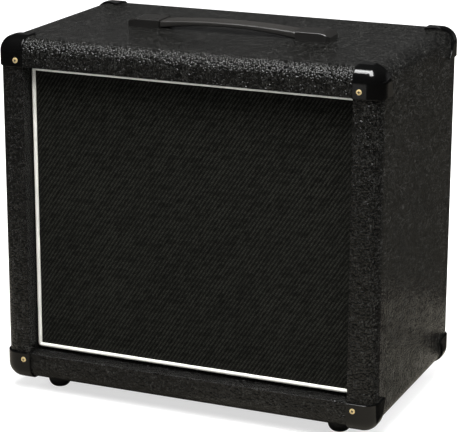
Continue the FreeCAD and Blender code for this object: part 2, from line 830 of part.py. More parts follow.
corner_rounded = rounded_solid("corner_rounded", corner_blank, cell.rim_round, outer_rim)
top_right = node(cut("corner_front_top_right", corner_rounded, [head_hole]))
top_left = node(mirrored("corner_front_top_left", top_right, (1, 0, 0)))
bottom_right = node(mirrored("corner_front_bottom_right", top_right, (0, 0, 1), middle_height))
bottom_left = node(mirrored("corner_front_bottom_left", top_left, (0, 0, 1), middle_height))
node(mirrored("corner_rear_top_right", top_right, (0, 1, 0)))
node(mirrored("corner_rear_top_left", top_left, (0, 1, 0)))
node(mirrored("corner_rear_bottom_right", bottom_right, (0, 1, 0)))
node(mirrored("corner_rear_bottom_left", bottom_left, (0, 1, 0)))

# Corner screws with raised countersunk heads, one in each protector
corner_screw_end = (cell.corner_head_dome + cell.protector_thickness + cell.vinyl_thickness
                    + cell.corner_screw_bite)
head_base = cell.corner_head_dome + cell.corner_head_depth
dome_radius = (cell.corner_head_radius * cell.corner_head_radius
               + cell.corner_head_dome * cell.corner_head_dome) / (2 * cell.corner_head_dome)
corner_screw = turned("corner_screw",
                      [(0, 0), (cell.corner_head_radius, cell.corner_head_dome),
                       (cell.corner_screw_radius, head_base),
                       (cell.corner_screw_radius, corner_screw_end), (0, corner_screw_end)],
                      bends={0: (dome_radius, "left")})
screw_face = cell.box_depth / 2 + cell.protector_thickness + cell.corner_head_dome
corner_screws = []
for label, end, turn in (("front", -1, rearward), ("rear", 1, forward)):
    spots = [(side * corner_x, end * screw_face, middle_height + level * corner_z)
             for side in (-1, 1) for level in (-1, 1)]
    corner_screws += copies("corner_screw_" + label, corner_screw, spots, turn)
node(gathered("corner_screws", corner_screws))

# Handle strap: an arched grip whose tongues lie in the pockets of the end caps
shoulder = cell.grip_half_length - cell.strap_clearance
strap_end = shoulder + tongue_length
crown_rise = cell.strap_crown - cell.strap_shoulder


def arch_radius(half_chord, rise):
    return (half_chord * half_chord + rise * rise) / (2 * rise)


strap_points = [(0, 0), (tongue_length, 0), (tongue_length + 2 * shoulder, 0),
                (2 * strap_end, 0), (2 * strap_end, cell.tongue_thickness),
                (tongue_length + 2 * shoulder, cell.tongue_thickness),
                (tongue_length + 2 * shoulder, cell.strap_shoulder),
                (tongue_length, cell.strap_shoulder),
                (tongue_length, cell.tongue_thickness), (0, cell.tongue_thickness)]
strap_bends = {1: (arch_radius(shoulder, cell.strap_rise), "right"),
               6: (arch_radius(shoulder, crown_rise), "left")}
strap_blank = padded("strap_blank", "XZ_Plane", strap_points, cell.strap_width,
                     (-strap_end, 0, box_top), strap_bends, True)


def strap_long_edge(edge):
    bounds = edge.BoundBox
    long = bounds.XLength > shoulder.value
    return long and bounds.YLength < cell.strap_edge_round.value


rounded(strap_blank, cell.strap_edge_round, strap_long_edge)


# Spring-steel strip inside the strap, and the room it lies in
def strip_solid(name, slack):
    low = cell.strip_height - slack
    high = cell.strip_height + cell.strip_thickness + slack
    inset = tongue_length / 8 - slack
    end = 2 * strap_end - inset
    near = tongue_length
    far = tongue_length + 2 * shoulder
    points = [(inset, low), (near, low), (far, low), (end, low),
              (end, high), (far, high), (near, high), (inset, high)]
    bend = arch_radius(shoulder, cell.strap_rise)
    return padded(name, "XZ_Plane", points, cell.strip_width + 2 * slack, (-strap_end, 0, box_top),
                  {1: (bend, "right"), 5: (bend, "left")}, True)


def boss_slot(name, side, slack):
    width = cell.boss_radius + cell.strap_clearance + slack
    half = cell.strap_slide
    low = box_top - cell.overrun
    length = cell.tongue_thickness + 2 * cell.overrun
    ends = [rod("%s_end_%d" % (name, sign + 1), width, length, (side * boss_x + sign * half, 0, low))
            for sign in (-1, 1)]
    middle = block(name + "_middle", (side * boss_x - half, -width, low), (2 * half, 2 * width, length))
    return fused(name, ends + [middle])


strap_cuts = [strip_solid("strip_room", cell.strip_clearance)]
strap_hollow = cut("strap_hollow", strap_blank, strap_cuts)
none = Size(0, "0")
strap_slots = [boss_slot("strap_slot_left", -1, none), boss_slot("strap_slot_right", 1, none)]
node(cut("handle_strap", strap_hollow, strap_slots))
strip_slots = [boss_slot("strip_slot_left", -1, cell.strap_clearance),
               boss_slot("strip_slot_right", 1, cell.strap_clearance)]
node(cut("handle_strip", strip_solid("strip_blank", none), strip_slots))

# Handle end caps: rounded in plan, sloping down at the nose, hollow for the tongue
nose = cell.cap_length - cell.cap_plan_radius
cap_plan = padded("cap_plan", "XY_Plane",
                  [(0, 0), (nose, 0), (cell.cap_length, cell.cap_plan_radius),
                   (cell.cap_length, cell.cap_width - cell.cap_plan_radius),
                   (nose, cell.cap_width), (0, cell.cap_width)],
                  cell.cap_height, (cell.grip_half_length, -cell.cap_width / 2, box_top),
                  {1: (cell.cap_plan_radius, "left"), 3: (cell.cap_plan_radius, "left")})
cap_side = padded("cap_side", "XZ_Plane",
                  [(0, 0), (cell.cap_length, 0), (cell.cap_length, cell.cap_nose_height),
                   (cell.cap_length - cell.cap_slope_length, cell.cap_height), (0, cell.cap_height)],
                  cell.cap_width, (cell.grip_half_length, 0, box_top),
                  {2: (cell.cap_slope_radius, "left")}, True)
cap_form = shared("cap_form", cap_plan, cap_side)


def cap_top_edge(edge):
    bounds = edge.BoundBox
    level = box_top.value + cell.cap_nose_height.value / 2
    inner_end = close(bounds.XMax, cell.grip_half_length.value)
    crosswise = bounds.XLength < cell.cap_edge_round.value and close(bounds.YLength, cell.cap_width.value)
    upright = bounds.XLength < cell.cap_edge_round.value and bounds.YLength < cell.cap_edge_round.value
    return bounds.ZMin > level and not inner_end and not crosswise and not upright


pocket_end = strap_end + cell.strap_slide + cell.strap_clearance
pocket_half = cell.strap_width / 2 + cell.strap_clearance
pocket_roof = cell.tongue_thickness + cell.strap_play + cell.edge_gap
pocket = block("cap_pocket", (cell.grip_half_length - cell.overrun, -pocket_half, box_top - cell.overrun),
               (pocket_end - cell.grip_half_length + cell.overrun, 2 * pocket_half,
                pocket_roof + cell.overrun))
cap_rounded = rounded_solid("cap_rounded", cap_form, cell.cap_edge_round, cap_top_edge)
boss = rod("cap_boss", cell.boss_radius, pocket_roof, (boss_x, 0, box_top))
cap_bossed = fused("cap_bossed", [cut("cap_hollow", cap_rounded, [pocket]), boss])
cap_holes = [rod("cap_hole_%d" % number, cell.handle_screw_radius + cell.screw_clearance,
                 cell.overrun + cell.handle_screw_bite, (x, 0, box_top - cell.overrun))
             for number, x in enumerate((boss_x, cap_screw_x))]
right_cap = node(cut("handle_cap_right", cap_bossed, cap_holes))
node(mirrored("handle_cap_left", right_cap, (1, 0, 0)))
handle_reach = cell.panel_thickness + cell.vinyl_thickness + cell.handle_screw_bite
handle_screw = turned("handle_screw",
                      [(0, 0), (cell.handle_head_radius, 0),
                       (cell.handle_head_radius, cell.handle_head_height),
                       (cell.handle_screw_radius, cell.handle_head_height),
                       (cell.handle_screw_radius, cell.handle_head_height + handle_reach),
                       (0, cell.handle_head_height + handle_reach)])
handle_spots = [(x, 0, inner_top - cell.handle_head_height) for x in handle_places]
node(gathered("handle_screws", copies("handle_screw_copy", handle_screw, handle_spots)))

# Rubber feet, rounded under towards the tread, each bored for its screw
foot_outline = [(cell.foot_bore_radius, 0), (cell.foot_tread_radius, 0),
                (cell.foot_waist_radius, cell.foot_waist_height), (cell.foot_radius, cell.foot_height),
                (screw_hole_radius, cell.foot_height), (screw_hole_radius, cell.foot_bore_depth),
                (cell.foot_bore_radius, cell.foot_bore_depth)]
foot_names = ("foot_front_left", "foot_rear_left", "foot_front_right", "foot_rear_right")
for name, (x, y) in zip(foot_names, foot_places):
    node(turned(name, foot_outline, (x, y, 0), bends={1: (cell.foot_round, "left")}))
foot_web = cell.foot_height - cell.foot_bore_depth
foot_screw = pan_screw("foot_screw", foot_web + cell.vinyl_thickness + cell.foot_screw_bite)
foot_spots = [(x, y, cell.foot_bore_depth - cell.pan_head_height) for x, y in foot_places]
node(gathered("foot_screws", copies("foot_screw_copy", foot_screw, foot_spots)))

# Loudspeaker: local depth runs to the rear from the front face of its flange
flange_front = baffle_rear + cell.gasket_thickness
speaker_spot = (0, flange_front, middle_height)
sheet_metal = cell.sheet_thickness
basket_points = [
    (cell.speaker_radius, 0), (cell.speaker_radius, cell.rim_depth),
    (cell.speaker_radius - sheet_metal, cell.rim_depth), (cell.speaker_radius - sheet_metal, sheet_metal),
    (flange_inner_radius + sheet_metal, sheet_metal), (wall_radius + sheet_metal, cell.wall_depth),
    (spider_ledge_radius + sheet_metal / 2, cell.spider_ledge_depth + sheet_metal),
    (spider_opening_radius + sheet_metal, cell.spider_ledge_depth + sheet_metal),
    (cell.seat_radius + sheet_metal, seat_depth + sheet_metal),
    (cell.seat_bore_radius, seat_depth + sheet_metal), (cell.seat_bore_radius, seat_depth),
    (cell.seat_radius, seat_depth), (spider_opening_radius, cell.spider_ledge_depth),
    (spider_ledge_radius, cell.spider_ledge_depth), (wall_radius, cell.wall_depth),
    (flange_inner_radius, 0)]
basket_pan = turned("basket_pan", basket_points, speaker_spot, rearward)
spread = math.tan(math.radians(window_half_angle))


def basket_window(number):
    half_inner = spread * window_inner_radius
    half_outer = spread * window_outer_radius
    points = [(window_inner_radius, half_outer - half_inner),
              (window_outer_radius, 0),
              (window_outer_radius, 2 * half_outer),
              (window_inner_radius, half_outer + half_inner)]
    angle = 360 / window_count * (number + 0.5)
    turn = FreeCAD.Rotation(FreeCAD.Vector(0, -1, 0), angle).multiply(rearward)
    lower = turn.multVec(FreeCAD.Vector(0, -1, 0))
    spot = (half_outer * lower.x, flange_front + cell.rim_depth, middle_height + half_outer * lower.z)
    return padded("basket_window_%d" % number, "XY_Plane", points,
                  cell.spider_ledge_depth + cell.overrun, spot, turn=turn)


basket_open = cut("basket_open", basket_pan, [basket_window(number) for number in range(window_count)])
frame_holes = []
for number in range(frame_hole_count):
    angle = math.radians(360 / frame_hole_count * number)
    spot = (bolt_circle_radius * math.cos(angle), flange_front - cell.overrun,
            middle_height + bolt_circle_radius * math.sin(angle))
    frame_holes.append(rod("frame_hole_%d" % number, cell.bolt_radius + cell.screw_clearance,
                           sheet_metal + 2 * cell.overrun, spot, rearward))
node(cut("speaker_basket", basket_open, frame_holes))
gasket_ring = ring(landing_radius + cell.edge_gap, cell.speaker_radius, 0, cell.gasket_thickness)
gasket_blank = turned("gasket_blank", gasket_ring, (0, baffle_rear, middle_height), rearward)
gasket_holes = speaker_holes("gasket_hole", cell.bolt_radius + cell.screw_clearance,
                             baffle_rear - cell.overrun, cell.gasket_thickness + 2 * cell.overrun)
node(cut("speaker_gasket", gasket_blank, gasket_holes))

# Magnet: front plate, ferrite ring and the yoke with its centre pole
plate_front = seat_depth + sheet_metal
magnet_front = plate_front + cell.plate_thickness
yoke_front = magnet_front + cell.magnet_thickness
yoke_rear = yoke_front + cell.back_plate_thickness
former_inner = cell.pole_radius + cell.coil_clearance
former_outer = former_inner + cell.former_thickness
winding_inner = former_outer + cell.glue_gap
winding_outer = winding_inner + cell.winding_thickness
plate_bore = winding_outer + cell.coil_clearance
node(turned("front_pole_plate", ring(plate_bore, cell.plate_radius, plate_front, magnet_front),
            speaker_spot, rearward))
node(turned("ferrite_magnet", ring(cell.magnet_bore_radius, cell.magnet_radius, magnet_front, yoke_front),
            speaker_spot, rearward))
yoke_points = [(0, plate_front), (cell.pole_radius, plate_front), (cell.pole_radius, yoke_front),
               (cell.back_plate_radius, yoke_front), (cell.back_plate_radius, yoke_rear), (0, yoke_rear)]
node(turned("rear_pole_yoke", yoke_points, speaker_spot, rearward))

# Cone, dust cap, coil former and winding: the pieces that move together
neck_radius = former_outer + cell.glue_gap
neck_depth = cell.spider_ledge_depth - cell.spider_standoff
cone_slope = (neck_depth - cell.cone_rim_depth) / (cone_radius - neck_radius)
node(turned("speaker_cone", [(neck_radius, neck_depth), (cone_radius, cell.cone_rim_depth),
                             (cone_radius, cell.cone_rim_depth + cell.cone_thickness),
                             (neck_radius, neck_depth + cell.cone_thickness)], speaker_spot, rearward))
cap_seat = cell.cone_rim_depth + cone_slope * (cone_radius - cell.dust_cap_radius) - cell.glue_gap
cap_rim = cap_seat - cell.dust_cap_thickness
cap_bend = arch_radius(cell.dust_cap_radius, cell.dust_cap_height)
node(turned("dust_cap", [(0, cap_rim - cell.dust_cap_height), (cell.dust_cap_radius, cap_rim),
                         (cell.dust_cap_radius, cap_seat), (0, cap_seat - cell.dust_cap_height)],
            speaker_spot, rearward, {0: (cap_bend, "left"), 2: (cap_bend, "right")}))
node(turned("voice_coil_former", ring(former_inner, former_outer, neck_depth - cell.former_above_neck,
                                      magnet_front + cell.former_below_plate), speaker_spot, rearward))
winding_start = plate_front + cell.plate_thickness / 2 - cell.winding_length / 2
node(turned("voice_coil_winding", ring(winding_inner, winding_outer, winding_start,
                                       winding_start + cell.winding_length), speaker_spot, rearward))


# Folded suspensions: a sheet of even thickness, folded to and fro between two radii
def folded(inner, outer, count, level, wave, thickness):
    front = []
    for number in range(count + 1):
        radius = inner + (outer - inner) * (number / count)
        lift = 0 if number in (0, count) else (wave if number % 2 else -wave)
        front.append((radius, level + lift))
    rear = [(radius, depth + thickness) for radius, depth in reversed(front)]
    return front, rear


surround_front, surround_rear = folded(cone_radius + cell.edge_gap, flange_inner_radius,
                                       surround_fold_count, cell.overrun, cell.surround_roll,
                                       cell.surround_thickness)
surround_level = cell.overrun + cell.surround_thickness
node(turned("cone_surround", surround_front + [(landing_radius, cell.overrun),
                                               (landing_radius, surround_level)] + surround_rear,
            (0, flange_front - surround_level, middle_height), rearward))
spider_level = cell.spider_ledge_depth - cell.spider_thickness
spider_inner = former_outer + cell.edge_gap
spider_front, spider_rear = folded(spider_inner + cell.spider_neck, spider_opening_radius,
                                   spider_fold_count, spider_level, cell.spider_wave, cell.spider_thickness)
node(turned("spider", [(spider_inner, spider_level)] + spider_front
            + [(spider_ledge_radius - sheet_metal, spider_level),
               (spider_ledge_radius - sheet_metal, cell.spider_ledge_depth)]
            + spider_rear + [(spider_inner, cell.spider_ledge_depth)], speaker_spot, rearward))

# Speaker bolts from the rear, into tee nuts let into the front of the baffle
bolt_reach = sheet_metal + cell.gasket_thickness + cell.baffle_thickness - cell.tee_flange_thickness
speaker_bolt = turned("speaker_bolt",
                      [(0, 0), (cell.bolt_head_radius, 0), (cell.bolt_head_radius, cell.bolt_head_height),
                       (cell.bolt_radius, cell.bolt_head_height),
                       (cell.bolt_radius, cell.bolt_head_height + bolt_reach),
                       (0, cell.bolt_head_height + bolt_reach)])
bolt_face = flange_front + sheet_metal + cell.bolt_head_height
bolt_spots = [(x, bolt_face, middle_height + z) for x, z in bolt_places]
node(gathered("speaker_bolts", copies("speaker_bolt_copy", speaker_bolt, bolt_spots, forward)))
tee_bore = cell.bolt_radius + cell.screw_clearance
tee_nut = turned("tee_nut", [(tee_bore, 0), (cell.tee_flange_radius, 0),
                             (cell.tee_flange_radius, cell.tee_flange_thickness),
                             (cell.tee_barrel_radius, cell.tee_flange_thickness),
                             (cell.tee_barrel_radius, cell.tee_barrel_length),
                             (tee_bore, cell.tee_barrel_length)])
tee_spots = [(x, baffle_front, middle_height + z) for x, z in bolt_places]
node(gathered("tee_nuts", copies("tee_nut_copy", tee_nut, tee_spots, rearward)))

# Terminal board on the spider ledge, with two flat tabs
board_front = flange_front + cell.spider_ledge_depth + sheet_metal
board_rear = board_front + cell.board_thickness
node(block("terminal_board", (-cell.board_width / 2, board_front, middle_height - board_outer_radius),
           (cell.board_width, cell.board_thickness, board_outer_radius - board_inner_radius)))
tab_low_z = middle_height - tab_outer_radius
tabs = [block("terminal_tab_%d" % (side + 1),
              (side * cell.tab_spacing - cell.tab_width / 2, board_rear, tab_low_z),
              (cell.tab_width, cell.tab_thickness, tab_outer_radius - tab_inner_radius))
        for side in (-1, 1)]
node(gathered("terminal_tabs", tabs))

# Jack dish: a moulded cup let into the rear panel; local height runs to the rear
cup_height = cell.dish_depth + cell.dish_wall - cell.dish_flange_thickness
dish_hole_radius = cell.bushing_radius + cell.screw_clearance
dish_floor_y = rear_panel_face - cup_height
dish_blank = turned("dish_blank",
                    [(dish_hole_radius, 0), (dish_floor_radius + cell.dish_wall, 0),
                     (cell.dish_mouth_radius + cell.dish_wall, cup_height),
                     (dish_flange_radius, cup_height),
                     (dish_flange_radius, cup_height + cell.dish_flange_thickness),
                     (cell.dish_mouth_radius, cup_height + cell.dish_flange_thickness),
                     (dish_floor_radius, cell.dish_wall), (dish_hole_radius, cell.dish_wall)],
                    (0, dish_floor_y, jack_z), rearward)
dish_holes = [rod("dish_hole_%d" % number, screw_hole_radius, cell.dish_flange_thickness + 2 * cell.overrun,
                  (x, rear_panel_face - cell.overrun, jack_z + z), rearward)
              for number, (x, z) in enumerate(dish_places)]
node(cut("jack_dish", dish_blank, dish_holes))

# Jack socket: moulded body behind the dish, threaded bushing through it, plug bore from the rear
jack_front = dish_floor_y - cell.jack_length
bushing_end = dish_floor_y + cell.dish_wall + cell.bushing_length
jack_body = block("jack_body", (-cell.jack_width / 2, jack_front, jack_z - cell.jack_height / 2),
                  (cell.jack_width, cell.jack_length, cell.jack_height))
bushing = rod("jack_bushing", cell.bushing_radius, bushing_end - dish_floor_y,
              (0, dish_floor_y, jack_z), rearward)
plug_bore_start = jack_front + cell.jack_end_wall
plug_bore = rod("plug_bore", cell.jack_bore_radius, bushing_end - plug_bore_start + cell.overrun,
                (0, plug_bore_start, jack_z), rearward)
node(cut("jack_socket", fused("jack_moulding", [jack_body, bushing]), [plug_bore]))
nut_blank = doc.addObject("Part::Prism", "nut_blank")
nut_blank.Polygon = 6
bind(nut_blank, "Circumradius", cell.nut_radius)
bind(nut_blank, "Height", cell.nut_height)
nut_y = dish_floor_y + cell.dish_wall
place(nut_blank, (0, nut_y, jack_z), rearward)
nut_bore = rod("nut_bore", dish_hole_radius, cell.nut_height + 2 * cell.overrun,
               (0, nut_y - cell.overrun, jack_z), rearward)
node(cut("jack_nut", nut_blank, [nut_bore]))
contact_x = {-1: -cell.jack_width / 2 - cell.contact_thickness, 1: cell.jack_width / 2}
contacts = [block("jack_contact_%d" % (side + 1),
                  (contact_x[side], jack_front - cell.contact_lug, jack_z - cell.contact_width / 2),
                  (cell.contact_thickness, cell.jack_length + cell.contact_lug, cell.contact_width))
            for side in (-1, 1)]
node(gathered("jack_contacts", contacts))


# Leads: straight runs joined by tangent arcs as large as their runs allow
def tube(name, route, size):
    points = [FreeCAD.Vector(*[as_size(part).value for part in point]) for point in route]
    radius = size.value
    edges = []
    last = points[0]
    radii = []
    for before, corner, after in zip(points, points[1:], points[2:]):
        inward = (before - corner).normalize()
        outward = (after - corner).normalize()
        trim_length = bend_share * min((before - corner).Length, (after - corner).Length)
        half_turn = (math.pi - inward.getAngle(outward)) / 2
        bend = trim_length / math.tan(half_turn)
        start = corner + inward * trim_length
        finish = corner + outward * trim_length
        bisector = (inward + outward).normalize()
        top = corner + bisector * (bend / math.cos(half_turn) - bend)
        edges += [Part.LineSegment(last, start).toShape(), Part.Arc(start, top, finish).toShape()]
        radii.append(bend)
        last = finish
    edges.append(Part.LineSegment(last, points[-1]).toShape())
    path = Part.Wire(edges)
    circle = Part.Circle(points[0], points[1] - points[0], radius)
    solid = path.makePipeShell([Part.Wire([circle.toShape()])], True, False)
    expected = math.pi * radius ** 2 * path.Length
    print(name, "length %.1f" % path.Length, "volume share %.4f" % (solid.Volume / expected),
          "least bend %.1f" % min(radii))
    return solid


# The routes' inner points are chosen by hand, as shares of each lead's span
lug_x = cell.jack_width / 2 + cell.contact_thickness / 2
lug_y = jack_front - cell.contact_lug - cell.edge_gap
tab_y = board_rear + cell.tab_thickness / 2
lead_span = lug_y - tab_y
for name, side in (("lead_negative", -1), ("lead_positive", 1)):
    route = [(side * lug_x, lug_y, jack_z)]
    for along, drop in lead_route_shares:
        across = lug_x + (cell.tab_spacing - lug_x) * along
        route.append((side * across, lug_y - lead_span * along, jack_z - lead_span * drop))
    route.append((side * cell.tab_spacing, tab_y, tab_low_z - cell.edge_gap))
    lead = doc.addObject("Part::Feature", name)
    lead.Shape = tube(name, route, cell.lead_radius)
    node(lead)

tinsel_radius = board_outer_radius - cell.tinsel_inset
cone_back = cell.cone_rim_depth + cell.cone_thickness + cone_slope * (cone_radius - tab_inner_radius)
tinsel_end = flange_front + cone_back + cell.tinsel_radius + cell.edge_gap
tinsel_start = board_front - cell.edge_gap
tinsel_span = tinsel_start - tinsel_end
tinsels = []
for side in (-1, 1):
    x = side * cell.tab_spacing
    route = [(x, tinsel_start, middle_height - tinsel_radius)]
    for along, drop in tinsel_route_shares:
        route.append((x, tinsel_start - tinsel_span * along,
                      middle_height - tinsel_radius - tinsel_span * drop))
    route.append((x, tinsel_end, middle_height - tab_inner_radius))
    strand = doc.addObject("Part::Feature", "tinsel_lead_%d" % (side + 1))
    strand.Shape = tube("tinsel lead", route, cell.tinsel_radius)
    tinsels.append(strand)
node(gathered("tinsel_leads", tinsels))

# Every object is sound and every node is closed before anything is written
doc.recompute()
for thing in doc.Objects:
    if "Invalid" in thing.State or "Error" in thing.State:
        raise RuntimeError("%s did not build: %s" % (thing.Label, thing.State))
for thing in nodes:
    if thing.Shape.isNull() or not thing.Shape.isValid() or not thing.Shape.Solids:
        raise RuntimeError("%s has no sound solid" % thing.Label)
os.makedirs("parts", exist_ok=True)
for thing in nodes:
    thing.Shape.exportStep("parts/%s.step" % thing.Label)
print(len(nodes), "nodes,", sum(len(thing.Shape.Solids) for thing in nodes), "solids")
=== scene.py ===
import json
import math
import bpy
import bmesh
from mathutils import Euler, Matrix, Vector


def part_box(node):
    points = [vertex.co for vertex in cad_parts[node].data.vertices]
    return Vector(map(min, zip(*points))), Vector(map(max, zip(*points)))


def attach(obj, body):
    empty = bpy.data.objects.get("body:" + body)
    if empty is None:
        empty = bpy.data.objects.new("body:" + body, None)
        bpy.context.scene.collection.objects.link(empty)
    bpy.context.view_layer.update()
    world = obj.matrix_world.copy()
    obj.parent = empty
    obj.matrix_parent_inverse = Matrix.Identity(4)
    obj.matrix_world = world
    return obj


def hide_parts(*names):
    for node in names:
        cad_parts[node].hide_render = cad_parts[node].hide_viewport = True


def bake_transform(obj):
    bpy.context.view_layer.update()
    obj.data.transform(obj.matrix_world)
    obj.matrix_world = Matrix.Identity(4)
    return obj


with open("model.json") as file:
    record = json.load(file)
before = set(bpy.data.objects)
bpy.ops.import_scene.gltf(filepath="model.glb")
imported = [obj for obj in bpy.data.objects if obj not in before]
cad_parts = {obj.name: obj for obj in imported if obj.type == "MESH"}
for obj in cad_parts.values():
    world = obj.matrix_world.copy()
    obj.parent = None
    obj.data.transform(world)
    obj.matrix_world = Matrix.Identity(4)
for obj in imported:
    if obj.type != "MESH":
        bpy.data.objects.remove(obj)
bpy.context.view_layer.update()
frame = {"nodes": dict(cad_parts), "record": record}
print("frame loaded", len(frame["nodes"]), "nodes")

hair = 0.00001  # slack when two places are compared
weld = 0.000001  # corners of a copied mesh that are closer than this become one


# modelling helpers
def clearSelection():
    if bpy.context.object and bpy.context.object.mode != "OBJECT":
        bpy.ops.object.mode_set(mode="OBJECT")
    bpy.ops.object.select_all(action="DESELECT")


def activate(*pieces):  # the last one given becomes the active one
    clearSelection()
    for piece in pieces:
        piece.select_set(True)
    bpy.context.view_layer.objects.active = pieces[-1]


def named(pieceName):
    piece = bpy.context.object
    piece.name = pieceName
    piece.data.name = pieceName
    return piece


def joined(pieceName, *pieces):
    activate(*pieces)
    bpy.ops.object.join()
    return named(pieceName)


def settle(piece):  # place, turn and size go into the mesh
    activate(piece)
    bpy.ops.object.transform_apply(location=True, rotation=True, scale=True)
    return piece


def addBlock(pieceName, low, high):
    clearSelection()
    middle = [(a + b) / 2 for a, b in zip(low, high)]
    bpy.ops.mesh.primitive_cube_add(size=1, location=middle)
    piece = named(pieceName)
    piece.scale = [b - a for a, b in zip(low, high)]
    return settle(piece)


def editPiece(piece, kind):
    activate(piece)
    bpy.ops.object.mode_set(mode="EDIT")
    bpy.ops.mesh.select_mode(type=kind)
    bpy.ops.mesh.select_all(action="DESELECT")


def pick(piece, kind, test):  # choose faces or edges by their place
    mesh = bmesh.from_edit_mesh(piece.data)
    items = mesh.faces if kind == "FACE" else mesh.edges
    for item in items:
        corners = [vert.co for vert in item.verts]
        item.select_set(bool(test(item, corners)))
    mesh.select_flush_mode()
    bmesh.update_edit_mesh(piece.data)


def objectMode():
    bpy.ops.object.mode_set(mode="OBJECT")


def smoothPiece(piece, angle):
    activate(piece)
    bpy.ops.object.shade_smooth_by_angle(angle=math.radians(angle))


def addModifier(piece, kind, **settings):
    modifier = piece.modifiers.new(kind.title(), kind)
    for key, value in settings.items():
        setattr(modifier, key, value)
    bpy.context.view_layer.objects.active = piece
    bpy.ops.object.modifier_apply(modifier=modifier.name)


def copyPiece(piece, pieceName):
    twin = piece.copy()
    twin.data = piece.data.copy()
    twin.name = pieceName
    twin.data.name = pieceName
    twin.parent = None
    for key in list(twin.keys()):
        del twin[key]
    bpy.context.collection.objects.link(twin)
    return twin


def mergedCopy(nodeName, pieceName):
    piece = copyPiece(frame["nodes"][nodeName], pieceName)
    editPiece(piece, "VERT")
    bpy.ops.mesh.select_all(action="SELECT")
    bpy.ops.mesh.remove_doubles(threshold=weld)
    objectMode()
    return piece


def dress(piece, material):
    piece.data.materials.clear()
    piece.data.materials.append(material)


# material helpers
def newMaterial(matName):
    material = bpy.data.materials.new(matName)
    material.use_nodes = True
    tree = material.node_tree
    shader = tree.nodes["Principled BSDF"]
    return material, tree, shader


def addNode(tree, kind, **settings):
    node = tree.nodes.new(kind)
    for key, value in settings.items():
        if key in node.inputs:
            node.inputs[key].default_value = value
        else:
            setattr(node, key, value)
    return node


def wire(tree, source, target):
    tree.links.new(source, target)


def feed(tree, node, values):  # a socket is linked, a number or a tuple is set
    for socket, value in zip(node.inputs, values):
        if isinstance(value, bpy.types.NodeSocket):
            wire(tree, value, socket)
        else:
            socket.default_value = value


def maths(tree, operation, *values):
    node = addNode(tree, "ShaderNodeMath", operation=operation)
    feed(tree, node, values)
    return node.outputs[0]


def vectorMaths(tree, operation, *values):
    node = addNode(tree, "ShaderNodeVectorMath", operation=operation)
    feed(tree, node, values)
    return node.outputs["Value" if operation in ("DOT_PRODUCT", "LENGTH") else "Vector"]


def splitVector(tree, vector):
    node = tree.nodes.new("ShaderNodeSeparateXYZ")
    wire(tree, vector, node.inputs[0])
    return node.outputs


def ramp(tree, factor, places, colours):
    node = tree.nodes.new("ShaderNodeValToRGB")
    bar = node.color_ramp
    while len(bar.elements) < len(places):
        bar.elements.new(0.5)
    for element, place, colour in zip(bar.elements, places, colours):
        element.position = place
        element.color = (*colour, 1)
    wire(tree, factor, node.inputs["Fac"])
    return node.outputs["Color"]


def mapRange(tree, value, source, target=(0.0, 1.0)):
    node = tree.nodes.new("ShaderNodeMapRange")
    wire(tree, value, node.inputs["Value"])
    for key, number in zip(("From Min", "From Max", "To Min", "To Max"), (*source, *target)):
        node.inputs[key].default_value = number
    return node.outputs["Result"]


def greys(*levels):
    return [(level, level, level) for level in levels]


def dimmed(colour, share):
    return tuple(part * share for part in colour)


def objectCoords(tree, scale=(1, 1, 1)):
    coords = tree.nodes.new("ShaderNodeTexCoord")
    mapping = addNode(tree, "ShaderNodeMapping", Scale=scale)
    wire(tree, coords.outputs["Object"], mapping.inputs["Vector"])
    return mapping.outputs["Vector"]


def noise(tree, vector, scale, detail=3, roughness=0.55):
    node = addNode(tree, "ShaderNodeTexNoise", Scale=scale, Detail=detail, Roughness=roughness)
    wire(tree, vector, node.inputs["Vector"])
    return node.outputs["Fac"]


def bump(tree, shader, height, distance):
    node = addNode(tree, "ShaderNodeBump", Strength=1.0, Distance=distance)
    wire(tree, height, node.inputs["Height"])
    wire(tree, node.outputs["Normal"], shader.inputs["Normal"])


# pebbled vinyl: domed cells of two sizes, each leaning its own way, with grit and soft clouds; painted shade
# darkens the hollows between the domes, and pale crease lines are painted in as sheen
vinylLook = {"dark": (0.0028, 0.0028, 0.0026), "light": (0.0112, 0.0111, 0.0103), "tonePlaces": (0.08, 0.42),
             "drift": 240, "driftReach": 0.0012, "cell": 390, "small": 1000, "smallShare": 0.1, "grit": 2600,
             "gritShare": 0.02, "broad": 55, "broadShare": 0.05, "depth": 0.0012, "lean": 0.4,
             "luckShare": 0.9, "luckFloor": 0.7,
             "mottle": 170, "mottleFrom": (0.32, 0.68), "mottleTo": (0.6, 1.4),
             "creases": 42, "creaseLie": (1.3, 0.85, 2.2), "creaseWidth": 0.08, "creaseSheen": (1.0, 2.0),
             "sideEdge": (0.24, 0.25), "rough": (0.13, 0.22), "roughPlaces": (0.3, 0.7), "shine": 0.32}


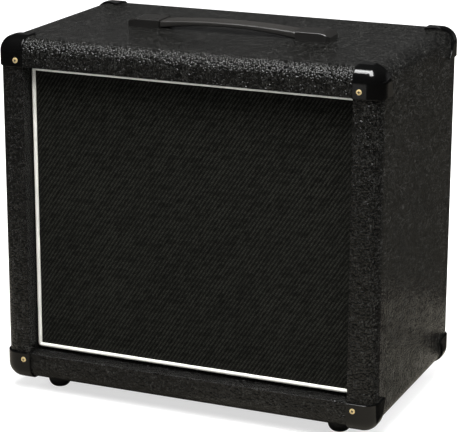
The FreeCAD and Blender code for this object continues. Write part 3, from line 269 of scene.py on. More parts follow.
def vinylMaterial():
    look = vinylLook
    material, tree, shader = newMaterial("pebbledVinyl")
    place = objectCoords(tree)
    drift = addNode(tree, "ShaderNodeTexNoise", Scale=look["drift"], Detail=2)
    wire(tree, place, drift.inputs["Vector"])
    reach = (look["driftReach"], look["driftReach"], look["driftReach"])
    shift = vectorMaths(tree, "MULTIPLY_ADD", drift.outputs["Color"], reach, place)

    def domes(scale):
        cells = addNode(tree, "ShaderNodeTexVoronoi", feature="F1", Scale=scale)
        wire(tree, shift, cells.inputs["Vector"])
        return maths(tree, "POWER", cells.outputs["Distance"], 2.0), cells.outputs

    large, pebbles = domes(look["cell"])
    small = domes(look["small"])[0]
    offset = vectorMaths(tree, "SUBTRACT", shift, pebbles["Position"])
    heading = vectorMaths(tree, "SUBTRACT", pebbles["Color"], (0.5, 0.5, 0.5))
    lean = vectorMaths(tree, "DOT_PRODUCT", offset, heading)
    grit = noise(tree, place, look["grit"], 2)
    broad = noise(tree, place, look["broad"], 3)
    hollow = maths(tree, "MULTIPLY_ADD", small, look["smallShare"], large)
    height = maths(tree, "MULTIPLY_ADD", grit, look["gritShare"], maths(tree, "MULTIPLY", hollow, -1.0))
    height = maths(tree, "MULTIPLY_ADD", broad, look["broadShare"], height)
    height = maths(tree, "MULTIPLY_ADD", lean, look["lean"] / look["depth"], height)
    bump(tree, shader, height, look["depth"])
    # painted shade: the hollows between the domes take the dark colour, the dome tops the light one
    tone = ramp(tree, hollow, look["tonePlaces"], (look["light"], look["dark"]))
    chance = addNode(tree, "ShaderNodeSeparateColor")  # each pebble takes the light a little differently
    wire(tree, pebbles["Color"], chance.inputs[0])
    luck = maths(tree, "POWER", chance.outputs[0], 2.0)
    share = maths(tree, "MULTIPLY_ADD", luck, look["luckShare"], look["luckFloor"])
    mottle = mapRange(tree, noise(tree, place, look["mottle"], 2), look["mottleFrom"], look["mottleTo"])
    # pale lines along noise creases are painted into the colour as sheen
    folds = noise(tree, objectCoords(tree, look["creaseLie"]), look["creases"], 3)
    fold = maths(tree, "ABSOLUTE", maths(tree, "MULTIPLY_ADD", folds, 2.0, -1.0))
    creaseSheen = mapRange(tree, fold, (0.0, look["creaseWidth"]), (1.0, 0.0))
    outward = maths(tree, "ABSOLUTE", splitVector(tree, place)["X"])  # the painted crease sheen is strongest on the two sides
    sideSheen = mapRange(tree, outward, look["sideEdge"], look["creaseSheen"])
    share = maths(tree, "MULTIPLY", share, maths(tree, "MULTIPLY_ADD", creaseSheen, sideSheen, 1.0))
    mixed = addNode(tree, "ShaderNodeVectorMath", operation="SCALE")
    wire(tree, tone, mixed.inputs[0])
    wire(tree, maths(tree, "MULTIPLY", share, mottle), mixed.inputs["Scale"])
    wire(tree, mixed.outputs[0], shader.inputs["Base Color"])
    rough = ramp(tree, broad, look["roughPlaces"], greys(*look["rough"]))
    wire(tree, rough, shader.inputs["Roughness"])
    shader.inputs["Specular IOR Level"].default_value = look["shine"]
    return material


# grille cloth: a four-shaft twill, each row of floats stepped sideways from the row below; its colour
# follows the float height, a painted highlight on the crowns and painted shade between the floats, over a
# random tone for each float and patch
clothLook = {"float": 0.005, "row": 0.00191, "step": 0.25, "repeat": 4, "depth": 0.0005,
             "dark": (0.0015, 0.0015, 0.0014), "light": (0.0235, 0.0235, 0.0195), "tonePlaces": (0.1, 0.95),
             "waver": 45, "waverAcross": 0.0016, "waverUp": 0.0011, "breakShare": 0.16, "breakFloor": 0.84,
             "strandShare": 0.7, "strandFloor": 0.5, "fuzz": 2600, "fuzzShare": 0.3,
             "cloud": 14, "cloudShare": 0.3, "cloudFloor": 0.84,
             "bead": 780, "beadFrom": (0.3, 0.7), "beadTo": (0.45, 1.55), "rough": 0.85, "shine": 0.06}


def clothMaterial():
    look = clothLook
    material, tree, shader = newMaterial("twillCloth")
    place = tree.nodes.new("ShaderNodeTexCoord").outputs["Object"]
    spot = splitVector(tree, place)
    waver = noise(tree, place, look["waver"], 2)
    across = maths(tree, "MULTIPLY_ADD", waver, look["waverAcross"], spot["X"])
    upward = maths(tree, "MULTIPLY_ADD", waver, look["waverUp"], spot["Z"])
    rows = maths(tree, "DIVIDE", upward, look["row"])
    row = maths(tree, "FLOOR", rows)
    within = maths(tree, "FRACT", rows)
    along = maths(tree, "MULTIPLY_ADD", row, -look["step"], maths(tree, "DIVIDE", across, look["float"]))
    dash = maths(tree, "FLOOR", along)
    along = maths(tree, "FRACT", along)
    group = maths(tree, "DIVIDE", rows, look["repeat"])
    breaks = maths(tree, "COSINE", maths(tree, "MULTIPLY", group, 2 * math.pi))
    breaks = maths(tree, "MULTIPLY_ADD", breaks, look["breakShare"], look["breakFloor"])
    pair = tree.nodes.new("ShaderNodeCombineXYZ")
    wire(tree, dash, pair.inputs["X"])
    wire(tree, maths(tree, "FLOOR", group), pair.inputs["Y"])
    chance = addNode(tree, "ShaderNodeTexWhiteNoise", noise_dimensions="2D")
    wire(tree, pair.outputs[0], chance.inputs["Vector"])
    strand = maths(tree, "MULTIPLY_ADD", chance.outputs["Value"], look["strandShare"], look["strandFloor"])
    yarn = maths(tree, "SINE", maths(tree, "MULTIPLY", within, math.pi))
    lift = maths(tree, "COSINE", maths(tree, "MULTIPLY", along, 2 * math.pi))
    lift = maths(tree, "MULTIPLY_ADD", lift, 0.5, 0.5)
    lift = maths(tree, "MULTIPLY", lift, maths(tree, "MULTIPLY", breaks, strand))
    height = maths(tree, "MULTIPLY", lift, maths(tree, "MULTIPLY_ADD", yarn, 0.5, 0.5))
    height = maths(tree, "MULTIPLY_ADD", noise(tree, place, look["fuzz"], 2), look["fuzzShare"], height)
    bump(tree, shader, height, look["depth"])
    cloudy = noise(tree, place, look["cloud"], 2)
    cloudy = maths(tree, "MULTIPLY_ADD", cloudy, look["cloudShare"], look["cloudFloor"])
    beads = mapRange(tree, noise(tree, place, look["bead"], 1), look["beadFrom"], look["beadTo"])
    shade = maths(tree, "MULTIPLY", height, cloudy)
    shade = maths(tree, "MULTIPLY", shade, beads)  # the rib breaks into beads
    # painted highlight and shade: raised float crowns take the light colour, the gaps between them the dark
    # one
    tone = ramp(tree, shade, look["tonePlaces"], (look["dark"], look["light"]))
    wire(tree, tone, shader.inputs["Base Color"])
    shader.inputs["Roughness"].default_value = look["rough"]
    shader.inputs["Specular IOR Level"].default_value = look["shine"]
    return material


# moulded plastics share one recipe with their own colour, gloss and texture
plasticLook = {"cloud": 35, "cloudDetail": 4, "dim": 0.8, "tonePlaces": (0.3, 0.7),
               "roughPlaces": (0.25, 0.75), "leastRough": 0.02}


def plasticMaterial(matName, colour, rough, grainScale, grainDepth, spread=0.06, shine=0.5):
    look = plasticLook
    material, tree, shader = newMaterial(matName)
    place = objectCoords(tree)
    cloudy = noise(tree, place, look["cloud"], look["cloudDetail"])
    grain = noise(tree, place, grainScale, 3)
    tone = ramp(tree, cloudy, look["tonePlaces"], (dimmed(colour, look["dim"]), colour))
    wire(tree, tone, shader.inputs["Base Color"])
    levels = greys(max(rough - spread, look["leastRough"]), rough + spread)
    wire(tree, ramp(tree, cloudy, look["roughPlaces"], levels), shader.inputs["Roughness"])
    bump(tree, shader, grain, grainDepth)
    shader.inputs["Specular IOR Level"].default_value = shine
    return material


# metals: faint scratches along one way and a cloudy tarnish
metalLook = {"cloud": 180, "cloudDetail": 4, "lie": (1, 6, 1), "tonePlaces": (0.3, 0.65),
             "roughPlaces": (0.2, 0.8), "roughShares": (0.75, 1.3), "depth": 0.00003}


def metalMaterial(matName, colour, rough, scratch=900, tarnish=0.25, metallic=1.0):
    look = metalLook
    material, tree, shader = newMaterial(matName)
    cloudy = noise(tree, objectCoords(tree), look["cloud"], look["cloudDetail"])
    lines = noise(tree, objectCoords(tree, look["lie"]), scratch, 2)
    tone = ramp(tree, cloudy, look["tonePlaces"], (dimmed(colour, 1 - tarnish), colour))
    wire(tree, tone, shader.inputs["Base Color"])
    levels = greys(*(min(rough * share, 1) for share in look["roughShares"]))
    wire(tree, ramp(tree, lines, look["roughPlaces"], levels), shader.inputs["Roughness"])
    bump(tree, shader, lines, look["depth"])
    shader.inputs["Metallic"].default_value = metallic
    return material


# paper, board, felt and doped cloth
fibreLook = {"cloud": 25, "pulpDetail": 5, "pulpRough": 0.7, "pulpShare": 0.6, "cloudShare": 0.4, "dim": 0.6,
             "tonePlaces": (0.3, 0.7)}


def fibreMaterial(matName, colour, rough, scale, depth):
    look = fibreLook
    material, tree, shader = newMaterial(matName)
    place = objectCoords(tree)
    pulp = noise(tree, place, scale, look["pulpDetail"], look["pulpRough"])
    cloudy = maths(tree, "MULTIPLY", noise(tree, place, look["cloud"], 3), look["cloudShare"])
    mixed = maths(tree, "MULTIPLY_ADD", pulp, look["pulpShare"], cloudy)
    tone = ramp(tree, mixed, look["tonePlaces"], (dimmed(colour, look["dim"]), colour))
    wire(tree, tone, shader.inputs["Base Color"])
    bump(tree, shader, pulp, depth)
    shader.inputs["Roughness"].default_value = rough
    return material


# plywood: long grain crossed by faint plies
plyLook = {"lie": (2, 2, 40), "rings": 14, "ringDetail": 5, "ringTwist": 0.6, "plies": 55, "plyTwist": 0.4,
           "plyShare": 0.25, "ringShare": 0.75, "tonePlaces": (0.25, 0.5, 0.8),
           "tones": ((0.36, 0.23, 0.12), (0.56, 0.41, 0.25), (0.66, 0.52, 0.35)),
           "depth": 0.0002, "rough": 0.6}


def plywoodMaterial():
    look = plyLook
    material, tree, shader = newMaterial("birchPlywood")
    rings = addNode(tree, "ShaderNodeTexNoise", Scale=look["rings"], Detail=look["ringDetail"],
                    Distortion=look["ringTwist"])
    wire(tree, objectCoords(tree, look["lie"]), rings.inputs["Vector"])
    plies = addNode(tree, "ShaderNodeTexWave", Scale=look["plies"], Distortion=look["plyTwist"])
    plies.bands_direction = "DIAGONAL"
    wire(tree, objectCoords(tree), plies.inputs["Vector"])
    grain = maths(tree, "MULTIPLY", rings.outputs["Fac"], look["ringShare"])
    mixed = maths(tree, "MULTIPLY_ADD", plies.outputs["Fac"], look["plyShare"], grain)
    wire(tree, ramp(tree, mixed, look["tonePlaces"], look["tones"]), shader.inputs["Base Color"])
    bump(tree, shader, rings.outputs["Fac"], look["depth"])
    shader.inputs["Roughness"].default_value = look["rough"]
    return material


finishes = {
    "vinyl": vinylMaterial(),
    "cloth": clothMaterial(),
    "plywood": plywoodMaterial(),
    "black_board": plasticMaterial("blackPaintedBoard", (0.014, 0.014, 0.014), 0.55, 420, 0.0004,
                                   spread=0.1),
    "piping": plasticMaterial("whitePiping", (0.9, 0.89, 0.82), 0.42, 800, 0.00012),
    "protector": plasticMaterial("glossCornerPlastic", (0.0024, 0.0024, 0.0024), 0.13, 500, 0.00003,
                                 spread=0.04, shine=0.35),
    "brass_screw": metalMaterial("brassScrew", (0.95, 0.74, 0.38), 0.34, tarnish=0.12, metallic=0.55),
    "black_screw": metalMaterial("blackSteelScrew", (0.06, 0.06, 0.062), 0.4),
    "zinc_screw": metalMaterial("zincSteel", (0.62, 0.63, 0.64), 0.35),
    "strap": plasticMaterial("strapVinyl", (0.017, 0.016, 0.0148), 0.45, 700, 0.0003),
    "cap": plasticMaterial("handleCapPlastic", (0.011, 0.0106, 0.01), 0.3, 600, 0.0001),
    "spring_steel": metalMaterial("springSteel", (0.36, 0.38, 0.42), 0.35),
    "foot": plasticMaterial("footRubber", (0.012, 0.012, 0.012), 0.7, 900, 0.0002),
    "basket": plasticMaterial("basketEnamel", (0.02, 0.02, 0.021), 0.35, 300, 0.0001),
    "gasket": fibreMaterial("pulpGasket", (0.28, 0.25, 0.21), 0.9, 700, 0.0005),
    "cone": fibreMaterial("paperCone", (0.045, 0.042, 0.038), 0.85, 600, 0.0005),
    "surround": fibreMaterial("dopedSurround", (0.02, 0.02, 0.02), 0.55, 900, 0.0003),
    "spider": fibreMaterial("resinSpider", (0.5, 0.33, 0.13), 0.8, 1400, 0.0004),
    "former": metalMaterial("foilFormer", (0.8, 0.8, 0.82), 0.3),
    "winding": metalMaterial("copperWinding", (0.72, 0.33, 0.16), 0.3),
    "pole_steel": metalMaterial("zincPlate", (0.66, 0.65, 0.6), 0.38),
    "ferrite": fibreMaterial("ferriteRing", (0.05, 0.05, 0.052), 0.6, 500, 0.0002),
    "fibre": fibreMaterial("fibreBoard", (0.13, 0.075, 0.04), 0.7, 800, 0.0003),
    "contact": metalMaterial("tinnedBrass", (0.76, 0.7, 0.55), 0.35),
    "dish": plasticMaterial("dishPlastic", (0.012, 0.012, 0.012), 0.38, 700, 0.00012),
    "socket": plasticMaterial("socketPlastic", (0.016, 0.016, 0.016), 0.4, 800, 0.0001),
    "nut": metalMaterial("nickelNut", (0.72, 0.7, 0.66), 0.22),
    "lead_red": plasticMaterial("redLead", (0.4, 0.02, 0.02), 0.45, 900, 0.0001),
    "lead_black": plasticMaterial("blackLead", (0.015, 0.015, 0.015), 0.45, 900, 0.0001),
}
slotOf = {part["node"]: part["material_slot"] for part in frame["record"]["subparts"]}
for nodeName, nodeObject in frame["nodes"].items():
    dress(nodeObject, finishes[slotOf[nodeName]])
print("materials on", len(slotOf), "nodes")

# vinyl covering: a round-edged box, turned in round the front and rear openings
covering = {"edge": 0.018, "steps": 9, "border": 0.035, "frontReveal": 0.0234, "rearReveal": 0.0168,
            "lip": 0.0009, "lipSteps": 4, "skin": 0.0008, "smooth": 40, "normalWeight": 100}


def buildCovering():
    low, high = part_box("vinyl_covering")
    middle = (low + high) / 2
    openX = high.x - covering["border"]
    openZ = high.z - middle.z - covering["border"]
    piece = addBlock("vinylCovering", low, high)
    editPiece(piece, "EDGE")
    bpy.ops.mesh.select_all(action="SELECT")
    bpy.ops.mesh.bevel(offset=covering["edge"], segments=covering["steps"], affect="EDGES")
    for face, inward in ((low.y, covering["frontReveal"]), (high.y, -covering["rearReveal"])):
        bpy.ops.mesh.select_mode(type="FACE")
        pick(piece, "FACE", lambda item, corners: all(abs(co.y - face) < hair for co in corners))
        bpy.ops.mesh.inset(thickness=covering["border"] - covering["edge"])
        bpy.ops.mesh.extrude_region_move(TRANSFORM_OT_translate={"value": (0, inward, 0)})
        bpy.ops.mesh.delete(type="FACE")
        bpy.ops.mesh.select_mode(type="EDGE")
        pick(piece, "EDGE", lambda item, corners: all(
            abs(co.y - face) < hair and abs(co.x) < openX + hair and abs(co.z - middle.z) < openZ + hair
            for co in corners))
        bpy.ops.mesh.bevel(offset=covering["lip"], segments=covering["lipSteps"], affect="EDGES")
    objectMode()
    addModifier(piece, "SOLIDIFY", thickness=covering["skin"], offset=-1)
    smoothPiece(piece, covering["smooth"])
    addModifier(piece, "WEIGHTED_NORMAL", keep_sharp=True, weight=covering["normalWeight"])
    dress(piece, finishes["vinyl"])
    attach(piece, "cabinet")
    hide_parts("vinyl_covering")


buildCovering()
print("covering done")

# grille cloth: one sheet stretched over the whole front of the baffle
clothSheet = {"width": 0.4674, "height": 0.4104, "setBack": 0.00005, "thickness": 0.0007,
              "columns": 58, "rows": 50}


def buildCloth():
    low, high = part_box("grille_cloth")
    spot = (0, low.y + clothSheet["setBack"], (low.z + high.z) / 2)
    clearSelection()
    bpy.ops.mesh.primitive_grid_add(x_subdivisions=clothSheet["columns"], y_subdivisions=clothSheet["rows"],
                                    size=1, location=spot, rotation=(math.pi / 2, 0, 0))
    piece = named("grilleCloth")
    piece.scale = (clothSheet["width"], clothSheet["height"], 1)
    settle(piece)
    addModifier(piece, "SOLIDIFY", thickness=clothSheet["thickness"], offset=-1)
    dress(piece, finishes["cloth"])
    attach(piece, "cabinet")
    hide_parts("grille_cloth")


buildCloth()
print("cloth done")

# piping: a white vinyl cord laid round the grille by hand, so a little uneven
piping = {"radius": 0.0024, "ringSteps": 5, "topLift": 0.0014, "bottomLift": 0.0005, "corner": 0.002,
          "cornerSteps": 4, "longRun": 0.1, "cuts": 48, "waver": 0.0005, "lump": 0.03, "smooth": 60}


def buildPiping():
    low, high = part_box("grille_piping")
    radius = piping["radius"]
    top = high.z - radius + piping["topLift"]
    bottom = low.z + radius + piping["bottomLift"]
    spot = (0, low.y + radius, (top + bottom) / 2)
    clearSelection()
    bpy.ops.mesh.primitive_plane_add(size=1, location=spot, rotation=(math.pi / 2, 0, 0))
    piece = named("grillePiping")
    piece.scale = (2 * (high.x - radius), top - bottom, 1)
    settle(piece)
    editPiece(piece, "VERT")
    bpy.ops.mesh.select_all(action="SELECT")
    bpy.ops.mesh.bevel(offset=piping["corner"], segments=piping["cornerSteps"], affect="VERTICES")
    bpy.ops.mesh.select_all(action="SELECT")
    bpy.ops.mesh.delete(type="ONLY_FACE")
    bpy.ops.mesh.select_mode(type="EDGE")
    pick(piece, "EDGE", lambda item, corners: item.calc_length() > piping["longRun"])
    bpy.ops.mesh.subdivide(number_cuts=piping["cuts"])
    objectMode()
    bpy.ops.object.convert(target="CURVE")
    piece = bpy.context.object
    piece.data.bevel_depth = radius
    piece.data.bevel_resolution = piping["ringSteps"]
    bpy.ops.object.convert(target="MESH")
    piece = named("grillePiping")
    lumps = bpy.data.textures.new("pipingLumps", "CLOUDS")
    lumps.noise_scale = piping["lump"]
    addModifier(piece, "DISPLACE", texture=lumps, texture_coords="LOCAL", strength=piping["waver"],
                mid_level=0.5)
    smoothPiece(piece, piping["smooth"])
    dress(piece, finishes["piping"])
    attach(piece, "cabinet")
    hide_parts("grille_piping")


buildPiping()
print("piping done")

# screws: a domed head with a cross recess, modelled once for each kind and copied to its spots
screwHead = {"sides": 40, "domeSteps": ((0.2, 0.5), (0.2, 0.27), (0.25, 0.17), (0.2, 0.06)),
             "slotDepth": 0.75, "slotReach": 0.64, "slotWidth": 0.19, "slotTaper": 0.6, "overrun": 0.001,
             "smooth": 32, "shadeReach": 0.7, "shadeFloor": 0.0001, "shadeSink": 0.15,
             "firstTurn": 0.3, "nextTurn": 0.9}
screwKinds = {
    "cornerScrews": {"node": "corner_screws", "slot": "brass_screw",
                     "radius": 0.0034, "rim": 0.0006, "dome": 0.0007},
    "rearScrews": {"node": "rear_screws", "slot": "black_screw",
                   "radius": 0.004, "rim": 0.0009, "dome": 0.0015},
    "footScrews": {"node": "foot_screws", "slot": "zinc_screw",
                   "radius": 0.0045, "rim": 0.0009, "dome": 0.0015},
}
screwPlaces = {"cornerX": (-0.2235, 0.2235), "cornerZ": (0.043, 0.433), "margin": 0.008,
               "rowX": (-0.1978, 0, 0.1978), "columnZ": (0.1709, 0.3051), "dishRing": 0.0345,
               "dishTurns": (90, 210, 330), "footX": (-0.193, 0.193), "footY": (-0.111, 0.111)}


# a spot is a place and the way its head faces: -1 front, 0 down, 1 rear
def cornerSpots():
    kind = screwKinds["cornerScrews"]
    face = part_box(kind["node"])[1].y - kind["rim"] - kind["dome"]
    return [(x, side * face, z, side) for side in (-1, 1) for x in screwPlaces["cornerX"]
            for z in screwPlaces["cornerZ"]]


def rearSpots():  # rows along the top and bottom of the panel, a pair down each side, three on the dish
    low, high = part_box("rear_panel")
    margin = screwPlaces["margin"]
    rows = [(x, high.y, z, 1) for x in screwPlaces["rowX"] for z in (low.z + margin, high.z - margin)]
    columns = [(x, high.y, z, 1) for x in (low.x + margin, high.x - margin) for z in screwPlaces["columnZ"]]
    low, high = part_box("jack_dish")
    ring = []
    for turn in screwPlaces["dishTurns"]:
        angle = math.radians(turn)
        x = screwPlaces["dishRing"] * math.cos(angle)
        z = (low.z + high.z) / 2 + screwPlaces["dishRing"] * math.sin(angle)
        ring.append((x, high.y, z, 1))
    return rows + columns + ring


def footSpots():
    kind = screwKinds["footScrews"]
    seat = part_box(kind["node"])[0].z + kind["rim"] + kind["dome"]
    return [(x, y, seat, 0) for x in screwPlaces["footX"] for y in screwPlaces["footY"]]


# a dark brown material for the slot faces: painted shade in the recess
screwSlotPaintedShade = plasticMaterial("screwSlotPaintedShade", (0.03, 0.02, 0.01), 0.6, 900, 0.0001)


def buildScrewHead(pieceName, kind):
    radius, rim, dome = kind["radius"], kind["rim"], kind["dome"]
    top = rim + dome
    clearSelection()
    bpy.ops.mesh.primitive_cylinder_add(vertices=screwHead["sides"], radius=radius, depth=rim,
                                        location=(0, 0, rim / 2))
    head = settle(named(pieceName))
    editPiece(head, "FACE")
    pick(head, "FACE", lambda item, corners: all(co.z > rim - hair for co in corners))
    for inward, upward in screwHead["domeSteps"]:
        bpy.ops.mesh.inset(thickness=radius * inward)
        bpy.ops.transform.translate(value=(0, 0, dome * upward))
    objectMode()
    reach, wide = screwHead["slotReach"] * radius, screwHead["slotWidth"] * radius
    floor = top - screwHead["slotDepth"] * top
    for halfX, halfY in ((reach, wide), (wide, reach)):  # two crossed tapering slots
        cutter = addBlock("slotCutter", (-halfX, -halfY, floor), (halfX, halfY, top + screwHead["overrun"]))
        editPiece(cutter, "FACE")
        pick(cutter, "FACE", lambda item, corners: all(co.z < top for co in corners))
        bpy.ops.transform.resize(value=(screwHead["slotTaper"], screwHead["slotTaper"], 1))
        objectMode()
        addModifier(head, "BOOLEAN", object=cutter, operation="DIFFERENCE", solver="EXACT")
        bpy.data.objects.remove(cutter)
    smoothPiece(head, screwHead["smooth"])
    dress(head, finishes[kind["slot"]])
    head.data.materials.append(screwSlotPaintedShade)
    for face in head.data.polygons:  # the slot faces take the darker material: painted shade in the recess
        away = math.hypot(face.center.x, face.center.y) / radius
        ceiling = rim + dome * (1 - away ** 2) - screwHead["shadeSink"] * dome
        if away < screwHead["shadeReach"] and screwHead["shadeFloor"] < face.center.z < ceiling:
            face.material_index = 1
    return head


def buildScrews(pieceName, spots):
    kind = screwKinds[pieceName]
    head = buildScrewHead(pieceName + "Head", kind)
    heads = []
    for number, (x, y, z, side) in enumerate(spots):
        twin = copyPiece(head, "%s%d" % (pieceName, number))
        twin.location = (x, y, z)
        facing = {-1: math.pi / 2, 0: math.pi, 1: -math.pi / 2}[side]
        turn = screwHead["nextTurn"] * number + screwHead["firstTurn"]
        turned = Matrix.Rotation(facing, 4, "X") @ Matrix.Rotation(turn, 4, "Z")
        twin.rotation_euler = turned.to_euler()
        heads.append(settle(twin))
    bpy.data.objects.remove(head)
    piece = joined(pieceName, *heads[1:], heads[0])
    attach(piece, "cabinet")
    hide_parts(kind["node"])


buildScrews("cornerScrews", cornerSpots())
buildScrews("rearScrews", rearSpots())
buildScrews("footScrews", footSpots())
print("screws done")

# handle strap: moulded vinyl over its steel strip, arched, with soft edges and a pressed line inside them
strap = {"half": 0.0917, "shoulder": 0.009, "rise": 0.0074, "round": 0.0024, "roundSteps": 5,
         "border": 0.0042, "line": 0.0007, "press": 0.0004, "inner": 0.004, "swell": 0.0005,
         "swellArch": 0.01, "columns": 44, "overlap": 0.0003, "smooth": 40}


def archHeight(x, half, rise):
    radius = (half * half + rise * rise) / (2 * rise)
    return math.sqrt(max(radius * radius - x * x, 0)) - (radius - rise)


def archStrap(piece, low, high):  # lift each column to the arch
    half = strap["half"]
    crown = high.z - low.z - strap["shoulder"] - strap["swell"]
    shape = bmesh.from_edit_mesh(piece.data)
    for vert in shape.verts:
        share = (vert.co.z - low.z) / strap["shoulder"]
        under = archHeight(vert.co.x, half, strap["rise"])
        over = archHeight(vert.co.x, half, crown)
        fullness = archHeight(vert.co.x, half, strap["swellArch"]) / strap["swellArch"]
        swell = strap["swell"] * (1 - (vert.co.y / high.y) ** 2) * share * fullness
        vert.co.z += under * (1 - share) + over * share + swell
    bmesh.update_edit_mesh(piece.data)


def buildStrap():
    low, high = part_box("handle_strap")
    half, wide = strap["half"], high.y
    top = low.z + strap["shoulder"]
    piece = addBlock("handleStrap", (-half, -wide, low.z), (half, wide, top))
    editPiece(piece, "FACE")
    pick(piece, "FACE", lambda item, corners: all(co.z > top - hair for co in corners))
    bpy.ops.mesh.inset(thickness=strap["border"])
    bpy.ops.mesh.inset(thickness=strap["line"], depth=-strap["press"])
    bpy.ops.mesh.inset(thickness=strap["line"], depth=strap["press"])
    bpy.ops.mesh.inset(thickness=strap["inner"])
    bpy.ops.mesh.select_mode(type="EDGE")
    pick(piece, "EDGE", lambda item, corners: all(abs(abs(co.y) - wide) < hair for co in corners)
         and abs(corners[0].x - corners[1].x) > half)
    bpy.ops.mesh.bevel(offset=strap["round"], segments=strap["roundSteps"], affect="EDGES")
    for column in range(1, strap["columns"]):
        bpy.ops.mesh.select_all(action="SELECT")
        spot = -half + 2 * half * column / strap["columns"]
        bpy.ops.mesh.bisect(plane_co=(spot, 0, 0), plane_no=(1, 0, 0))
    archStrap(piece, low, high)
    objectMode()
    tongues = []
    for side in (-1, 1):  # the slotted tongues inside the caps keep their made shape
        tongue = mergedCopy("handle_strap", "strapTongue%d" % (side + 1))
        editPiece(tongue, "VERT")
        bpy.ops.mesh.select_all(action="SELECT")
        cut = side * (half - strap["overlap"])
        bpy.ops.mesh.bisect(plane_co=(cut, 0, 0), plane_no=(side, 0, 0), clear_inner=True, use_fill=True)
        objectMode()
        tongues.append(tongue)
    piece = joined("handleStrap", *tongues, piece)
    smoothPiece(piece, strap["smooth"])
    dress(piece, finishes["strap"])
    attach(piece, "handle_grip")
    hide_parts("handle_strap")


buildStrap()
print("strap done")

# tinsel leads: limp braid from the terminal board to the cone
tinsels = {"boardShare": 0.1, "coneShare": 0.3, "smooth": 40}


def buildTinsels():
    piece = mergedCopy("tinsel_leads", "tinselLeads")
    smoothPiece(piece, tinsels["smooth"])
    dress(piece, finishes[slotOf["tinsel_leads"]])
    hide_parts("tinsel_leads")
    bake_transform(piece)


buildTinsels()
print("tinsel leads done")

# studio: pale floor, cards that only shiny faces see, world, softboxes, fills and the photograph's camera
floorLook = {"size": 30.0, "tone": (0.36, 0.36, 0.36, 1), "rough": 0.9, "liftFrom": (0.35, 1.3),
             "nearLift": 0.66, "farLift": 1.0}


def seenRays(tree, paths):
    return maths(tree, "MAXIMUM", paths["Is Camera Ray"], paths["Is Transmission Ray"])


def buildFloor():
    look = floorLook
    clearSelection()
    bpy.ops.mesh.primitive_plane_add(size=look["size"], location=(0, 0, 0))
    floor = named("studioFloor")
    material, tree, shader = newMaterial("paleFloor")
    shader.inputs["Base Color"].default_value = look["tone"]
    shader.inputs["Roughness"].default_value = look["rough"]
    paths = tree.nodes.new("ShaderNodeLightPath").outputs
    coords = tree.nodes.new("ShaderNodeTexCoord")
    away = vectorMaths(tree, "LENGTH", coords.outputs["Object"])
    levels = (look["nearLift"], look["farLift"])  # pure white away from the object, its shadow kept near it
    lift = mapRange(tree, away, look["liftFrom"], levels)
    direct = maths(tree, "MULTIPLY", seenRays(tree, paths), lift)
    beyond = maths(tree, "SUBTRACT", lift, look["nearLift"])
    mirrored = maths(tree, "MULTIPLY", paths["Is Glossy Ray"], beyond)
    wire(tree, maths(tree, "MAXIMUM", direct, mirrored), shader.inputs["Emission Strength"])
    shader.inputs["Emission Color"].default_value = (1, 1, 1, 1)
    facing = tree.nodes.new("ShaderNodeNewGeometry")  # clear from below, so the underside can be looked at
    clear = tree.nodes.new("ShaderNodeBsdfTransparent")
    either = tree.nodes.new("ShaderNodeMixShader")
    feed(tree, either, (facing.outputs["Backfacing"], shader.outputs[0], clear.outputs[0]))
    wire(tree, either.outputs[0], tree.nodes["Material Output"].inputs["Surface"])
    dress(floor, material)


def addCard(cardName, spot, size, material, turn=0.0):  # lies flat, out of the camera's sight
    clearSelection()
    bpy.ops.mesh.primitive_plane_add(size=1, location=spot, rotation=(0, 0, turn))
    card = named(cardName)
    card.scale = (*size, 1)
    settle(card)
    dress(card, material)
    card.visible_camera = False
    card.visible_shadow = False
    card.visible_diffuse = False


# dark cards on the floor round the set: low corner, high corner, tone
flags = [((-14, -14), (-0.6, -0.45), 0.02), ((-0.3, -14), (14, -0.45), 0.02),
         ((-0.6, -14), (-0.3, -2.4), 0.02), ((-0.6, -1.8), (-0.3, -0.45), 0.02),
         ((-14, 0.4), (0.3, 14), 0.02), ((0.3, 0.4), (0.9, 0.75), 0.03),
         ((0.3, 0.75), (14, 14), 0.02), ((0.9, 0.4), (14, 0.75), 0.02),
         ((0.6, -0.45), (14, 0.4), 0.02), ((-14, -0.45), (-0.6, 0.4), 0.02),
         ((-0.6, -0.45), (0.0, 0.4), 0.18), ((0.0, -0.45), (0.26, 0.4), 0.27),
         ((0.26, -0.45), (0.6, -0.12), 0.27), ((0.26, -0.12), (0.6, 0.4), 0.02)]
flagLook = {"height": 0.003, "warmth": (1.08, 1.0, 0.84)}


def buildFlags():
    for number, (low, high, tone) in enumerate(flags):
        material, _, shader = newMaterial("darkFlag%d" % number)
        shader.inputs["Base Color"].default_value = (*dimmed(flagLook["warmth"], tone), 1)
        shader.inputs["Roughness"].default_value = 1.0
        shader.inputs["Specular IOR Level"].default_value = 0.0
        middle = [(a + b) / 2 for a, b in zip(low, high)]
        size = [b - a for a, b in zip(low, high)]
        addCard("studioFlag%d" % number, (*middle, flagLook["height"]), size, material)


# a pale strip on the floor in front, for shiny faces only
glow = {"start": (-0.45, -1.9), "heading": 23, "size": (0.34, 12), "height": 0.006, "strength": 0.8,
        "tint": (1, 0.98, 0.94, 1)}


def buildGlowStrip():
    material, _, shader = newMaterial("paleStrip")
    shader.inputs["Base Color"].default_value = (0, 0, 0, 1)
    shader.inputs["Emission Color"].default_value = glow["tint"]
    shader.inputs["Emission Strength"].default_value = glow["strength"]
    turn = math.radians(glow["heading"])
    halfLength = glow["size"][1] / 2
    x = glow["start"][0] - math.sin(turn) * halfLength
    y = glow["start"][1] - math.cos(turn) * halfLength
    addCard("studioGlow", (x, y, glow["height"]), glow["size"], material, -turn)


# world: white to the camera, a dim ceiling and a low pale backdrop to shiny faces, a faint ambient light
sky = {"ambient": 0.06, "horizon": (0.0, 0.05), "ceiling": 0.03, "behind": (0.45, 0.8),
       "below": (0.26, 0.18), "beside": (0.12, 0.4), "backdrop": (0.1, 0.12), "rearY": 0.1, "rearX": 0.2,
       "edgeGlow": 0.15, "edgeFloor": 0.05}


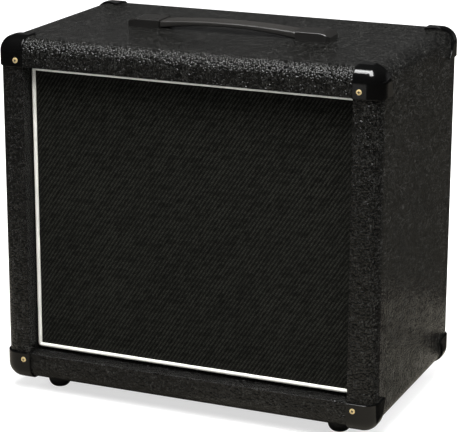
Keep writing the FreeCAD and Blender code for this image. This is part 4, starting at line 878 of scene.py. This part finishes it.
def buildWorld():
    world = bpy.data.worlds.new("studioWorld")
    bpy.context.scene.world = world
    world.use_nodes = True
    tree = world.node_tree
    paths = tree.nodes.new("ShaderNodeLightPath").outputs
    outward = splitVector(tree, tree.nodes.new("ShaderNodeTexCoord").outputs["Generated"])
    horizon = mapRange(tree, outward["Z"], sky["horizon"], (1.0, sky["ceiling"]))
    behind = mapRange(tree, outward["Y"], sky["behind"])
    beside = mapRange(tree, outward["X"], sky["beside"], sky["backdrop"])  # brighter towards the right
    behind = maths(tree, "MULTIPLY", behind, mapRange(tree, outward["Z"], sky["below"]))
    behind = maths(tree, "MULTIPLY", behind, beside)
    rear = maths(tree, "MULTIPLY", maths(tree, "GREATER_THAN", outward["Y"], sky["rearY"]),
                 maths(tree, "GREATER_THAN", outward["X"], sky["rearX"]))
    edge = maths(tree, "MULTIPLY_ADD", rear, sky["edgeGlow"], sky["edgeFloor"])
    edge = maths(tree, "MULTIPLY", horizon, edge)
    mirrored = maths(tree, "MULTIPLY", paths["Is Glossy Ray"], maths(tree, "MAXIMUM", edge, behind))
    spread = maths(tree, "MULTIPLY", paths["Is Diffuse Ray"], sky["ambient"])
    level = maths(tree, "MAXIMUM", maths(tree, "MAXIMUM", seenRays(tree, paths), mirrored), spread)
    back = tree.nodes["Background"]
    wire(tree, level, back.inputs["Strength"])
    back.inputs["Color"].default_value = (1, 1, 1, 1)


# lamps: three softboxes overhead, two of them seen in shiny faces, and four fills
lamps = {
    "stripSoftbox": {"spot": (-0.4, -0.5, 2.1), "target": (-0.4, -0.48, 0), "size": (0.36, 0.75),
                     "power": 16.0, "shines": True},
    "squareSoftbox": {"spot": (0.25, -0.75, 2.1), "target": (0.22, -0.7, 0), "size": (0.68, 1.3),
                      "power": 66.0, "shines": True},
    "rearSoftbox": {"spot": (-0.2, 0.9, 2.0), "target": (0, 0, 0.46), "size": (0.35, 0.35),
                    "power": 34.0, "shines": False},
    "frontFill": {"spot": (0.7, -1.7, 2.3), "target": (0, 0, 0.25), "size": (1.0, 1.0),
                  "power": 37.0, "shines": False},
    "rightFill": {"spot": (1.3, 2.0, 0.9), "target": (0.25, 0, 0.2), "size": (1.0, 1.0),
                  "power": 95.0, "shines": False},
    "backFill": {"spot": (-0.6, 2.4, 1.4), "target": (0, 0, 0.25), "size": (1.0, 1.0),
                 "power": 36.0, "shines": False},
    "leftFill": {"spot": (-2.4, 0.2, 1.2), "target": (0, 0, 0.25), "size": (1.0, 1.0),
                 "power": 34.0, "shines": False},
}


def addLamp(lampName, settings):
    lamp = bpy.data.lights.new(lampName, "AREA")
    lamp.shape = "RECTANGLE"
    lamp.size, lamp.size_y = settings["size"]
    lamp.energy = settings["power"]
    holder = bpy.data.objects.new(lampName, lamp)
    bpy.context.collection.objects.link(holder)
    holder.location = settings["spot"]
    aim = Vector(settings["target"]) - Vector(settings["spot"])
    holder.rotation_euler = aim.to_track_quat("-Z", "Y").to_euler()
    holder.visible_glossy = settings["shines"]
    holder.visible_camera = False


# the photograph's camera, with its focal length in the photograph's pixels
shot = {"spot": (0.95646, -2.23366, 0.92137), "azimuth": 23.24, "elevation": 16.10, "roll": 0.14,
        "focal": 1972.93, "across": 458, "sensor": 36, "reach": 100}


def buildCamera():
    lens = bpy.data.cameras.new("photoCamera")
    lens.sensor_fit = "HORIZONTAL"
    lens.sensor_width = shot["sensor"]
    lens.lens = shot["focal"] * shot["sensor"] / shot["across"]
    lens.clip_end = shot["reach"]
    holder = bpy.data.objects.new("photoCamera", lens)
    bpy.context.collection.objects.link(holder)
    aim = Euler((math.radians(90 - shot["elevation"]), 0, math.radians(shot["azimuth"]))).to_matrix()
    aim = aim @ Matrix.Rotation(math.radians(shot["roll"]), 3, "Z")
    holder.matrix_world = Matrix.Translation(shot["spot"]) @ aim.to_4x4()
    bpy.context.scene.camera = holder


buildFloor()
buildFlags()
buildGlowStrip()
buildWorld()
for lampName, lampSettings in lamps.items():
    addLamp(lampName, lampSettings)
buildCamera()
bpy.context.scene.view_settings.view_transform = "Standard"
print("studio done")
